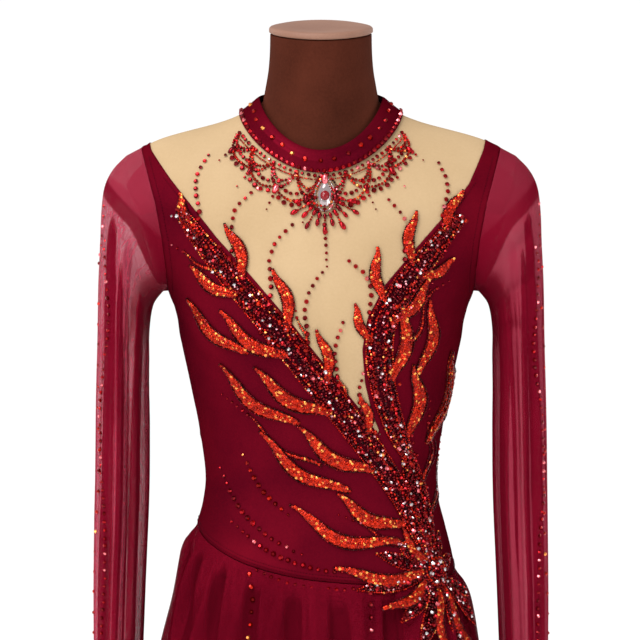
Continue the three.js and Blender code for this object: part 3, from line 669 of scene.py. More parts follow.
@cache
def net_group() -> bpy.types.NodeTree:
    """The threads of a fine net as a mask, from cloth coordinates.

    Returns:
        The group.
    """
    kinds = {"Vector": ("NodeSocketVector", None), "Pitch": ("NodeSocketFloat", 0.0012)}
    w, ins, outs = shader_group("fine_net", kinds, {"Thread": "NodeSocketFloat"})
    parts = w.add("ShaderNodeSeparateXYZ", {0: ins.outputs["Vector"]})
    turns = w.math("DIVIDE", math.pi, ins.outputs["Pitch"])
    lines = []
    for across, up in ((1.0, 0.55), (-1.0, 0.55)):
        run = w.math("MULTIPLY_ADD", parts.outputs[0], across, w.math("MULTIPLY", parts.outputs[1], up))
        lines.append(w.math("ABSOLUTE", w.math("COSINE", w.math("MULTIPLY", run, turns))))
    w.join(w.scaled(w.math("MAXIMUM", *lines), (0.55, 0.95)), outs, "Thread")
    return w.tree


@cache
def tone_group() -> bpy.types.NodeTree:
    """Broad soft changes of shade over a piece, with a finer cloudiness in them.

    Returns:
        The group.
    """
    kinds = {"Vector": ("NodeSocketVector", None), "Dark": ("NodeSocketColor", None),
             "Light": ("NodeSocketColor", None), "Scale": ("NodeSocketFloat", 14.0)}
    w, ins, outs = shader_group("cloth_tone", kinds, {"Color": "NodeSocketColor", "Share": "NodeSocketFloat"})
    broad = w.add("ShaderNodeTexNoise", {"Vector": ins.outputs["Vector"], "Scale": ins.outputs["Scale"],
                                         "Detail": 3.0, "Roughness": 0.45})
    fine = w.add("ShaderNodeTexNoise", {"Vector": ins.outputs["Vector"], "Scale": 420.0, "Detail": 2.0})
    total = w.math("MULTIPLY_ADD", broad.outputs[0], 0.75, w.math("MULTIPLY", fine.outputs[0], 0.25))
    share = w.scaled(total, (0.32, 0.68))
    shade = w.blend(share, ins.outputs["Dark"], ins.outputs["Light"])
    w.join(shade, outs, "Color")
    w.join(share, outs, "Share")
    return w.tree


def colour(hexadecimal: int) -> tuple[float, float, float, float]:
    """A linear colour from a web colour.

    Args:
        hexadecimal: The web colour.

    Returns:
        Red, green, blue and an alpha of 1.
    """
    parts = [(hexadecimal >> shift & 255) / 255 for shift in (16, 8, 0)]
    linear = [p / 12.92 if p <= 0.04045 else ((p + 0.055) / 1.055) ** 2.4 for p in parts]
    return (*linear, 1.0)


def new_material(name: str, constants: dict[str, object]) -> tuple[
        bpy.types.Material, Wiring, bpy.types.Node]:
    """Starts a material with its shader's own constant values set.

    Args:
        name: The material's name.
        constants: Values for the shader's sockets.

    Returns:
        The material, its wiring and its shader.
    """
    material = bpy.data.materials.new(name)
    material.use_nodes = True
    wiring = Wiring(material.node_tree)
    shader = wiring.add("ShaderNodeBsdfPrincipled", constants)
    wiring.add("ShaderNodeOutputMaterial", {"Surface": shader.outputs[0]})
    return material, wiring, shader


def add_tone(w: Wiring, dark: int, light: int) -> bpy.types.Node:
    """Adds the tone group between two shades, read at the place on the part.

    Args:
        w: The material's wiring.
        dark: The web colour of the hollows.
        light: The web colour of the rises.

    Returns:
        The group's node.
    """
    place = w.add("ShaderNodeTexCoord").outputs["Object"]
    return w.add("ShaderNodeGroup", {"Vector": place, "Dark": colour(dark), "Light": colour(light)},
                 node_tree=tone_group())


# ---------------------------------------------------------------- finishes
@dataclass(frozen=True)
class ClothFinish:
    """A woven or knitted finish.

    Attributes:
        name: The material's name.
        dark: Its shade in the hollows of its tone.
        light: Its shade on the rises.
        roughness: How matt it is.
        sheen: How much soft light its nap gives back.
        pitch: From stitch to stitch, in metres.
        relief: How deep the stitches are, in metres.
        cover: The share of the view that one face stops; 1 is opaque.
        net: Whether it is an open net.
        gloss: How strongly it mirrors.
        crinkle: How many layers of net its fine creases add.
        metallic: How much its highlights take its own colour, as satin's do.
        painted_through_light: The painted colour of light that comes through a single layer of net.
    """

    name: str
    dark: int
    light: int
    roughness: float = 0.6
    sheen: float = 0.3
    pitch: float = 0.0011
    relief: float = 0.00012
    cover: float = 1.0
    net: bool = False
    gloss: float = 0.05
    crinkle: float = 0.0
    metallic: float = 0.0
    painted_through_light: int = 0xFFFFFF

    @cache
    def material(self) -> bpy.types.Material:
        """Builds the material.

        Returns:
            The material.
        """
        constants = {"Roughness": self.roughness, "Metallic": self.metallic, "Specular IOR Level": self.gloss,
                     "Specular Tint": colour(self.light), "Sheen Weight": self.sheen, "Sheen Roughness": 0.45,
                     "Sheen Tint": colour(self.light)}
        made, w, shader = new_material(self.name, constants)
        hue = add_tone(w, self.dark, self.light).outputs["Color"]
        uv = w.add("ShaderNodeUVMap", uv_map="cloth")
        texture = w.add("ShaderNodeGroup", {"Vector": uv.outputs[0], "Pitch": self.pitch},
                        node_tree=net_group() if self.net else knit_group())
        stitches = texture.outputs[0]
        w.emboss(shader, stitches, 0.6, self.relief)
        if self.net:
            hue = w.blend(stitches, w.blend(0.22, hue, colour(self.dark)), hue)
        if self.cover < 1:
            # Painted shade and light: where many layers are gathered the hue darkens towards a third of its
            # dark shade, and where pale is set it turns to the painted colour of light coming through the
            # net.
            gathered = w.attribute("gathered")
            depth = w.scaled(gathered, (1.7, 3.7), (0.0, 0.66))
            deep = (*(0.35 * part for part in colour(self.dark)[:3]), 1.0)
            hue = w.blend(w.attribute("pale"), w.blend(depth, hue, deep), colour(self.painted_through_light))
            self._open(w, shader, gathered, stitches, uv.outputs[0])
        w.join(hue, shader, "Base Color")
        return made

    def _open(self, w: Wiring, shader: bpy.types.Node, gathered: bpy.types.NodeSocket,
              thread: bpy.types.NodeSocket, flat: bpy.types.NodeSocket) -> None:
        """Makes the cloth sheer: denser where it is gathered, along its threads and in its fine creases.

        Args:
            w: The material's wiring.
            shader: Its shader.
            gathered: How many layers lie at each place, with extra layers added as painted shade in the
                skirt's hollows, low in the sleeve caps and over the wearer's left sleeve.
            thread: The mask of the threads.
            flat: The cloth coordinates.
        """
        layers = w.math("MAXIMUM", gathered, 0.35)
        if self.crinkle:
            drawn = w.add("ShaderNodeVectorMath", {0: flat, 1: (1.0, 0.42, 1.0)}, operation="MULTIPLY")
            noise = w.add("ShaderNodeTexNoise", {"Vector": drawn.outputs[0], "Scale": 62.0, "Detail": 2.5,
                                                 "Roughness": 0.6, "Distortion": 0.7})
            near = w.math("ABSOLUTE", w.math("SUBTRACT", noise.outputs[0], 0.5))
            single = w.scaled(gathered, (1.5, 1.95), (1.0, 0.0))
            creased = w.math("MULTIPLY", w.scaled(near, (0.0, 0.05), (1.0, 0.0)), single)
            layers = w.math("MULTIPLY_ADD", creased, self.crinkle, layers)
        even = w.math("MULTIPLY_ADD", thread, 0.24, self.cover - 0.12)
        through = w.math("POWER", w.math("SUBTRACT", 1.0, even), layers)
        w.join(w.math("SUBTRACT", 1.0, through), shader, "Alpha")


@dataclass(frozen=True)
class StoneFinish:
    """A bead, stone or sequin finish whose colour varies from one to the next.

    Attributes:
        name: The material's name.
        deep: The darkest of them.
        bright: The brightest.
        metallic: How much each is a mirror.
        roughness: How blurred its reflections are.
        glint: The painted highlight colour of those few that stand for beads catching the light.
        share: How many of them do.
    """

    name: str
    deep: int
    bright: int
    metallic: float = 0.0
    roughness: float = 0.12
    glint: int = 0xFFFFFF
    share: float = 0.08

    @cache
    def material(self) -> bpy.types.Material:
        """Builds the material.

        Returns:
            The material.
        """
        constants = {"Metallic": self.metallic, "Roughness": self.roughness, "Coat Weight": 0.15,
                     "Coat Roughness": 0.05, "IOR": 1.5}
        made, w, shader = new_material(self.name, constants)
        tint = w.attribute("tint")
        hue = w.blend(tint, colour(self.deep), colour(self.bright))
        # Painted highlights: beads in the top share of tint take the glint colour in place of their own.
        caught = w.math("GREATER_THAN", tint, 1 - self.share)
        w.join(w.blend(caught, hue, colour(self.glint)), shader, "Base Color")
        return made


@dataclass(frozen=True)
class FoilFinish:
    """Cloth covered with glitter, each grain with its own shade and lean.

    Attributes:
        name: The material's name.
        deep: The darkest grains.
        bright: The brightest.
        glint: The painted highlight colour of the few grains that stand for ones catching the light.
        grains: Grains to the metre.
    """

    name: str
    deep: int
    bright: int
    glint: int
    grains: float = 900.0

    @cache
    def material(self) -> bpy.types.Material:
        """Builds the material.

        Returns:
            The material.
        """
        made, w, shader = new_material(self.name, {"Metallic": 0.85, "Roughness": 0.34})
        place = w.add("ShaderNodeTexCoord")
        cells = w.add("ShaderNodeTexVoronoi", {"Vector": place.outputs["Object"], "Scale": self.grains})
        shade = w.add("ShaderNodeSeparateColor", {0: cells.outputs["Color"]})
        hue = w.blend(shade.outputs[0], colour(self.deep), colour(self.bright))
        # Painted highlights: grains in the top share take the glint colour in place of their own.
        caught = w.math("GREATER_THAN", shade.outputs[2], 0.91)
        w.join(w.blend(caught, hue, colour(self.glint)), shader, "Base Color")
        w.emboss(shader, shade.outputs[1], 0.8, 0.0004)
        return made


@dataclass(frozen=True)
class HardFinish:
    """A moulded or painted finish.

    Attributes:
        name: The material's name.
        dark: Its shade in the hollows of its tone.
        light: Its shade on the rises.
        roughness: How matt it is.
        metallic: How much it is bare metal.
        grain: How coarse its surface is, in waves to the metre.
        relief: How deep the grain is, in metres.
    """

    name: str
    dark: int
    light: int
    roughness: float
    metallic: float = 0.0
    grain: float = 900.0
    relief: float = 0.0001

    @cache
    def material(self) -> bpy.types.Material:
        """Builds the material.

        Returns:
            The material.
        """
        made, w, shader = new_material(self.name, {"Metallic": self.metallic})
        tone = add_tone(w, self.dark, self.light)
        w.join(tone.outputs["Color"], shader, "Base Color")
        gloss = w.math("MULTIPLY_ADD", tone.outputs["Share"], 0.12, self.roughness - 0.06)
        w.join(gloss, shader, "Roughness")
        place = w.add("ShaderNodeTexCoord").outputs["Object"]
        grain = w.add("ShaderNodeTexNoise", {"Vector": place, "Scale": self.grain, "Detail": 2.0})
        w.emboss(shader, grain.outputs[0], 0.5, self.relief)
        return made


@dataclass(frozen=True)
class Wardrobe:
    """Every finish of the part.

    Attributes:
        jersey: The stretch bodice.
        band: The neck band.
        sleeve_net: The sleeves.
        skirt_net: The sheer skirt.
        lining: The underskirt.
        nude: The yokes.
        form: The form's cover.
        thread: Sewing thread and padding.
        lid: The form's lid.
        metal: The stand.
        garnet: Dark red beads.
        outline: The leaves' edging.
        flame: Orange sequins.
        ember: Bright red beads.
        rose: Red stones.
        cabochon: The drop's red heart.
        leaf: The leaves' ground.
        crystal: Clear stones.
    """

    jersey: ClothFinish = ClothFinish("wine_jersey", 0x540617, 0x6C0A1C, 0.5, 0.02, gloss=0.0, metallic=0.3)
    band: ClothFinish = ClothFinish("wine_neck_band", 0x4C0515, 0x660A1B, 0.4, 0.02, gloss=0.0, metallic=0.4)
    sleeve_net: ClothFinish = ClothFinish(
        "wine_sleeve_net", 0x90102A, 0xA61634, 0.7, 0.02, 0.0013, 8e-05, 0.3, True, 0.0, 1.3, painted_through_light=0xBC4A60)
    skirt_net: ClothFinish = ClothFinish(
        "wine_skirt_net", 0x64071A, 0x7A0C22, 0.65, 0.02, 0.0013, 8e-05, 0.44, True, 0.0)
    lining: ClothFinish = ClothFinish("wine_lining", 0x460512, 0x5A0A1A, 0.7, 0.02)
    nude: ClothFinish = ClothFinish("nude_net", 0xBC9F79, 0xC8AB85, 0.75, 0.05, 0.0012, 6e-05, 1.0, True)
    form: ClothFinish = ClothFinish("brown_velour", 0x3E1D14, 0x55291D, 0.95, 0.2, 0.0012, 0.0001)
    thread: ClothFinish = ClothFinish("wine_thread", 0x36030E, 0x520818, 0.55, 0.02)
    lid: HardFinish = HardFinish("neck_lid", 0x845A47, 0x9C735F, 0.6)
    metal: HardFinish = HardFinish("black_powder_coat", 0x121012, 0x262326, 0.45, 0.2)
    garnet: StoneFinish = StoneFinish("garnet_beads", 0x1E0207, 0x8E0816, 0.9, 0.22, 0xF0A8B0, 0.07)
    outline: StoneFinish = StoneFinish("outline_beads", 0x1A0206, 0x64060F, 0.9, 0.3, 0x8C1014, 0.05)
    flame: StoneFinish = StoneFinish("flame_sequins", 0x7C0705, 0xE2300E, 0.9, 0.28, 0xFFA650, 0.09)
    ember: StoneFinish = StoneFinish("ember_beads", 0x7A0606, 0xDA2410, 0.9, 0.2, 0xFF9C50, 0.1)
    rose: StoneFinish = StoneFinish("rose_stones", 0x6C0410, 0xC4121E, 0.9, 0.14, 0xFF8088, 0.08)
    cabochon: HardFinish = HardFinish("red_cabochon", 0x7A0410, 0x8E0714, 0.08)
    leaf: FoilFinish = FoilFinish("leaf_glitter", 0x740608, 0xC81C0E, 0xFF8648)
    crystal: StoneFinish = StoneFinish("crystal_stones", 0xC8B8B8, 0xFFFFFF, 0.9, 0.07)


# ---------------------------------------------------------------- creases
@dataclass(frozen=True)
class Crease:
    """A soft trough in cloth, or a ridge where its depth is below zero.

    Attributes:
        start: Where it begins, in the millimetres of the sheet it is pressed in.
        end: Where it ends.
        depth: How deep it is.
        width: Half its width.
        bow: How far its middle strays to the left of the line from start to end.
    """

    start: tuple[float, float]
    end: tuple[float, float]
    depth: float
    width: float
    bow: float = 0.0

    def push(self, across: Array, up: Array) -> Array:
        """How far the cloth moves inwards at each place.

        Args:
            across: The places across the sheet.
            up: The places up it.

        Returns:
            The distances.
        """
        start, end = np.array(self.start), np.array(self.end)
        length = np.linalg.norm(end - start)
        along = (end - start) / length
        offset = np.stack([across - start[0], up - start[1]], axis=-1)
        share = offset @ along / length
        inner = np.clip(share, 0, 1)
        aside = offset @ left_of(along) - self.bow * 4 * inner * (1 - inner)
        fade = ease(-0.12, 0.25, share) * (1 - ease(0.7, 1.12, share))
        return self.depth * fade * np.exp(-((aside / self.width) ** 2))


def pressed(creases: Sequence[Crease], across: Array, up: Array) -> Array:
    """The sum of the creases' troughs."""
    return sum((crease.push(across, up) for crease in creases), np.zeros(np.shape(across)))


# ---------------------------------------------------------------- shared pieces
def dress(obj: bpy.types.Object, material: bpy.types.Material) -> None:
    """Gives an object one material and no other."""
    obj.data.materials.clear()
    obj.data.materials.append(material)


def finish_piece(obj: bpy.types.Object, material: bpy.types.Material | None, slot: str,
                 *nodes: str) -> None:
    """Gives a piece its material and its body, and hides the CAD nodes that it stands for.

    Args:
        obj: The piece.
        material: Its material, or None where it has one.
        slot: The record's material slot; not used.
        nodes: The CAD nodes that it replaces.
    """
    if material is not None:
        dress(obj, material)
    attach(obj, "root")
    if nodes:
        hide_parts(*nodes)
    LOG.info("%s: %d faces", obj.name, len(obj.data.polygons))


def interp(value: Array, table: Sequence[tuple[float, float]], across: int = 0) -> Array:
    """Reads a table of points as a line.

    Args:
        value: Where to read it.
        table: The points.
        across: The column that value is read along.

    Returns:
        The other column there.
    """
    points = np.array(table, float)
    points = points[np.argsort(points[:, across])]
    return np.interp(value, points[:, across], points[:, 1 - across])


def armhole_field(point: Array) -> Array:
    """Above zero on the body's side of the armholes."""
    return interp(point[..., 2], ARMHOLE, 1) - np.abs(point[..., 0])


def plunge_field(point: Array) -> Array:
    """Above zero inside the plunging neckline.

    Args:
        point: The points.

    Returns:
        A number for each.
    """
    x, z = point[..., 0], point[..., 2]
    inside = np.minimum(x - interp(z, NECKLINE_RIGHT, 1), interp(z, NECKLINE_LEFT, 1) - x)
    return np.where(z > NECKLINE_LEFT[0][1], inside, z - NECKLINE_LEFT[0][1])


def scoop_field(point: Array) -> Array:
    """Above zero above the back bodice's upper edge."""
    return point[..., 2] - interp(point[..., 0], BACK_YOKE)


@dataclass
class DressForm:
    """The limbless form, its neck and its stand.

    Attributes:
        columns: Points round.
        rows: Points up the body.
        neck_rows: Points up the bare neck.
        arm_stump: From which side to which the arms are cut off, and how far in.
        lid_profile: Height of the lid's rings and how far each is wider than the neck.
        base_profile: Radius and height down the base's section.
        pole_profile: Radius and height up the pole's section.
    """

    columns: int = 112
    rows: int = 130
    neck_rows: int = 26
    arm_stump: tuple[float, float, float] = (165, 200, 12)
    lid_profile: tuple[tuple[float, float], ...] = (
        (1501.2, -1.2), (1501.8, 0.2), (1502.8, 0.8), (1505.6, 0.8), (1507.0, 0.2), (1508.0, -1.0),
        (1508.5, -4.0), (1508.9, -14.0), (1509.2, -30.0),
    )
    base_profile: tuple[tuple[float, float], ...] = (
        (0.5, 0), (162, 0), (164, 0.8), (165, 2.5), (165, 6), (164, 8), (161, 9.4), (120, 10.7), (66, 12),
        (0.5, 12),
    )
    pole_profile: tuple[tuple[float, float], ...] = (
        (0.5, 12.3), (22, 12.3), (22, 15), (17, 19), (14, 24), (14, 824), (15, 829), (20, 837.7), (44, 842),
        (47, 843), (48, 845), (48, 849), (47, 849.7), (0.5, 849.7),
    )

    def _rings(self) -> Array:
        """The form's rings, from the hip to the top of the bare neck.

        Returns:
            The rings, from the bottom up.
        """
        turn = np.arange(self.columns)[None, :] * TAU / self.columns
        places = np.linspace(0, COLLAR_TOP, self.rows)[:, None]
        inset = np.interp(places[:, 0], np.arange(len(FORM_INSET)), FORM_INSET)[:, None]
        low, high, extra = self.arm_stump
        flank = ease(low, high, np.abs(FIGURE.base(turn, places)[..., 0]))
        body = FIGURE.point(turn, places, -(inset + extra * flank))
        neck_places = np.linspace(0, len(NECK_ROWS) - 1, self.neck_rows)
        neck = FIGURE.ring(catmull(NECK_ROWS, neck_places)[:, None, :], turn)
        return np.concatenate([body, neck])

    def _lid(self) -> Array:
        """The rings of the lid, from under its lip to near its middle.

        Returns:
            The rings, from the bottom up.
        """
        turn = np.arange(96)[None, :] * TAU / 96
        rows = [(z, 53 + grow, 54.5 + grow, 52.5 + grow, -10, 2, 4, 4) for z, grow in self.lid_profile]
        return FIGURE.ring(np.array(rows, float)[:, None, :], turn)

    def build(self, wardrobe: "Wardrobe") -> None:
        """Builds and dresses the form, the lid and the stand.

        Args:
            wardrobe: The finishes.
        """
        rings = self._rings()
        body = stacked("form_body", rings, ring_uv(rings))
        finish_piece(body, wardrobe.form.material(), "form_cloth", "form_torso")
        finish_piece(stacked("form_lid", self._lid()), wardrobe.lid.material(), "form_lid", "form_neck_lid")
        metal = wardrobe.metal.material()
        finish_piece(stacked("stand_post", lathe(self.pole_profile)), metal, "stand_metal", "stand_pole")
        finish_piece(stacked("stand_foot", lathe(self.base_profile, 144)), metal, "stand_metal", "stand_base")


@dataclass
class Bodice:
    """The stretch front and back, the nude yokes and the neck band.

    Attributes:
        rows: Points up each panel.
        columns: Points round each panel.
        wall: The cloth's thickness.
        binding: How far the turned edge stands up.
        underlap: How far the yokes run under the cloth.
        slit: Half the gap down the middle of the back yoke.
        band: The figure's row at the middle of the neck band, and half its height in rows.
        creases: Its creases, by across and height in the front view.
    """

    rows: int = 140
    columns: int = 126
    wall: float = 0.8
    binding: float = 0.55
    underlap: float = 3.0
    slit: float = 1.0
    band: tuple[float, float] = (19.44, 0.56)
    creases: tuple[Crease, ...] = (
        Crease((-150, 1232), (-112, 1186), 1.3, 7, 4),
        Crease((-152, 1212), (-118, 1160), 1.0, 6, -3),
        Crease((-146, 1180), (-96, 1150), 0.7, 8, 5),
        Crease((150, 1230), (116, 1188), 1.2, 7, -4),
        Crease((152, 1208), (122, 1162), 1.1, 6, 3),
        Crease((144, 1176), (100, 1146), 0.7, 8, -4),
        Crease((-118, 1052), (-64, 1040), 0.8, 7, 3),
        Crease((-116, 1030), (-52, 1014), 0.7, 6, -3),
        Crease((117, 1058), (70, 1042), 0.8, 7, -3),
        Crease((114, 1034), (58, 1022), 0.6, 6, 3),
        Crease((-104, 986), (-40, 960), 0.6, 7, 3),
        Crease((96, 1000), (52, 968), 0.5, 6, -3),
    )

    def _panel(self, name: str, turn: Array, place: Array, out: Array, inside: Array) -> bpy.types.Object:
        """Cuts one panel out of a grid on the figure and gives it its wall.

        Args:
            name: The piece's name.
            turn: The turn of each grid point.
            place: Its row place.
            out: How far it stands off.
            inside: A field that is above zero where the cloth is kept.

        Returns:
            The piece.
        """
        grid = FIGURE.point(turn, place, out)
        values, faces = clip_grid(np.concatenate([grid, flat_uv(grid)], axis=-1), inside)
        piece = mesh_piece(name, values[:, :3], faces, values[:, 3:])
        thicken(piece, self.wall)
        return piece

    def _edge(self, distance: Array) -> Array:
        """The turned and stitched edge: a low roll with a groove where the stitches hold it down."""
        roll = self.binding * np.exp(-(((distance - 2.6) / 2.2) ** 2))
        return roll - 0.35 * np.exp(-(((distance - STITCH_INSET) / 0.9) ** 2))

    def _cloth(self, side: int) -> tuple[Array, Array, Array]:
        """Lays a grid over the whole front or back.

        Args:
            side: -1 for the front and 1 for the back.

        Returns:
            Turns, row places and bare surface points.
        """
        first, last = (-179.9, -0.1) if side < 0 else (0.1, 179.9)
        turn = np.linspace(first, last, self.columns) * DEG
        bottom = FIGURE.place_at_level(turn, seam_level(turn))
        place = bottom + (COLLAR_FOOT - bottom) * np.linspace(0, 1, self.rows)[:, None]
        turn = np.broadcast_to(turn, place.shape)
        return turn, place, FIGURE.base(turn, place)

    def _seams(self, turn: Array, point: Array) -> Array:
        """How the side and waist seams draw the cloth in.

        Args:
            turn: The turns.
            point: The surface points there.

        Returns:
            How far out the cloth lies.
        """
        arc = np.minimum(np.abs(np.sin(turn)) * np.abs(point[..., 0]), 60)
        waist = point[..., 2] - seam_level(turn)
        return -0.7 * np.exp(-((arc / 1.6) ** 2)) + 0.5 * np.exp(-(((waist - 3) / 2.5) ** 2))

    def build(self, wardrobe: "Wardrobe") -> None:
        """Builds and dresses the bodice, the yokes and the band.

        Args:
            wardrobe: The finishes.
        """
        jersey, nude = wardrobe.jersey.material(), wardrobe.nude.material()
        turn, place, point = self._cloth(-1)
        armhole, plunge = armhole_field(point), plunge_field(point)
        out = self._seams(turn, point) + self._edge(np.minimum(armhole, -plunge))
        out = out - pressed(self.creases, point[..., 0], point[..., 2]) * ease(0, 14, -plunge)
        front = self._panel("bodice_front_cloth", turn, place, out, np.minimum(armhole, -plunge))
        finish_piece(front, jersey, "wine_stretch", "bodice_front")
        under = np.minimum(armhole, plunge + self.underlap)
        yoke = self._panel("yoke_front_net", turn, place, np.full(turn.shape, -0.7), under)
        finish_piece(yoke, nude, "nude_net", "yoke_front")
        self._back(jersey, nude)
        band = wardrobe.band.material()
        self._band(band)
        dress(bpy.data.objects["collar_button"], band)

    def _back(self, jersey: bpy.types.Material, nude: bpy.types.Material) -> None:
        """Builds the back of the bodice and both halves of the back yoke.

        Args:
            jersey: The bodice's material.
            nude: The yokes' material.
        """
        turn, place, point = self._cloth(1)
        armhole, scoop = armhole_field(point), scoop_field(point)
        out = self._seams(turn, point) + self._edge(np.minimum(armhole, -scoop))
        folds = pressed(self.creases, -point[..., 0] * 0.96, point[..., 2] - 5)
        out = out - 0.7 * folds * ease(0, 14, -scoop)
        back = self._panel("bodice_back_cloth", turn, place, out, np.minimum(armhole, -scoop))
        finish_piece(back, jersey, "wine_stretch", "bodice_back")
        for name, side in (("left", 1), ("right", -1)):
            middle = side * point[..., 0] - self.slit
            inside = np.minimum(np.minimum(armhole, scoop + self.underlap), middle)
            hem = 0.4 * np.exp(-(((middle - 2) / 2) ** 2))
            half = self._panel(f"yoke_back_{name}_net", turn, place, hem - 0.7, inside)
            finish_piece(half, nude, "nude_net", f"yoke_back_{name}")

    def _band(self, material: bpy.types.Material) -> None:
        """Builds the doubled neck band, its fold rounded and open at the centre back.

        Args:
            material: The band's material.
        """
        turn = (90 + np.linspace(0.35, 359.65, 220)) * DEG
        around = np.arange(28) * TAU / 28
        place = self.band[0] + self.band[1] * signed_power(np.sin(around), 0.42)
        bulge = 1.35 + 0.9 * signed_power(np.cos(around), 0.55) + 0.25 * np.cos(around) * np.cos(2 * around)
        rings = FIGURE.point(turn[:, None], place[None, :], bulge[None, :])
        waver = waves(5, 5, 4, 15)(turn)[:, None] * 0.25
        rings = rings + FIGURE.normal(turn[:, None], place[None, :]) * waver[..., None]
        faces = grid_faces(len(turn), len(around), True)
        ends = np.arange(len(around))
        caps = [ends[::-1].tolist(), ((len(turn) - 1) * len(around) + ends).tolist()]
        flat = np.stack(np.broadcast_arrays(turn[:, None] * 0.075, around[None, :] * 0.008), axis=-1)
        band = mesh_piece("neck_band", rings, faces.tolist() + caps, flat)
        outward(band)
        finish_piece(band, material, "wine_stretch", "collar")


def outward(obj: bpy.types.Object) -> None:
    """Turns a closed mesh's faces outwards.

    Args:
        obj: The mesh object.
    """
    shape = bmesh.new()
    shape.from_mesh(obj.data)
    bmesh.ops.recalc_face_normals(shape, faces=shape.faces)
    shape.to_mesh(obj.data)
    shape.free()


# ---------------------------------------------------------------- sleeves
def armhole_point(angle: Array) -> Array:
    """A point of the left armhole's seam.

    Args:
        angle: The angle; 90 degrees is the top and 0 the front.

    Returns:
        The point.
    """
    foot, head = 1231.0, 1379.0
    level = foot + (head - foot) * (1 + np.sin(angle)) / 2
    x = interp(level, ARMHOLE, 1) + 0.3
    front = FIGURE.face(x, level, 0.0, -1)
    back = FIGURE.face(x, level, 0.0, 1)
    point = np.where((np.cos(angle) < 0)[..., None], back, front)
    point[..., 0] = x
    return point


@dataclass(frozen=True)
class Pleat:
    """A long fold in a sleeve that lies in three layers.

    Attributes:
        middle: Where it is round the sleeve, in degrees from the front.
        half: Half its width in degrees.
        first: Where down the sleeve it begins.
        last: Where it ends.
        sway: How far it strays to either side, in degrees.
        layers: How much net it adds.
    """

    middle: float
    half: float
    first: float
    last: float
    sway: float
    layers: float = 2.0

    def cover(self, angle: Array, v: Array) -> tuple[Array, Array]:
        """How far each place is in the pleat, and how far across it.

        Args:
            angle: Round the sleeve, in radians.
            v: Down the sleeve.

        Returns:
            Both shares.
        """
        degrees = angle / DEG - self.middle - self.sway * np.sin(0.8 * v + self.middle)
        aside = (degrees + 180) % 360 - 180
        half = self.half * (0.55 + 0.45 * ease(self.first, self.first + 3, v))
        fade = ease(self.first, self.first + 1.4, v) * (1 - ease(self.last - 1.6, self.last, v))
        return (1 - ease(half - 1.2, half + 1.2, np.abs(aside))) * fade, aside / half


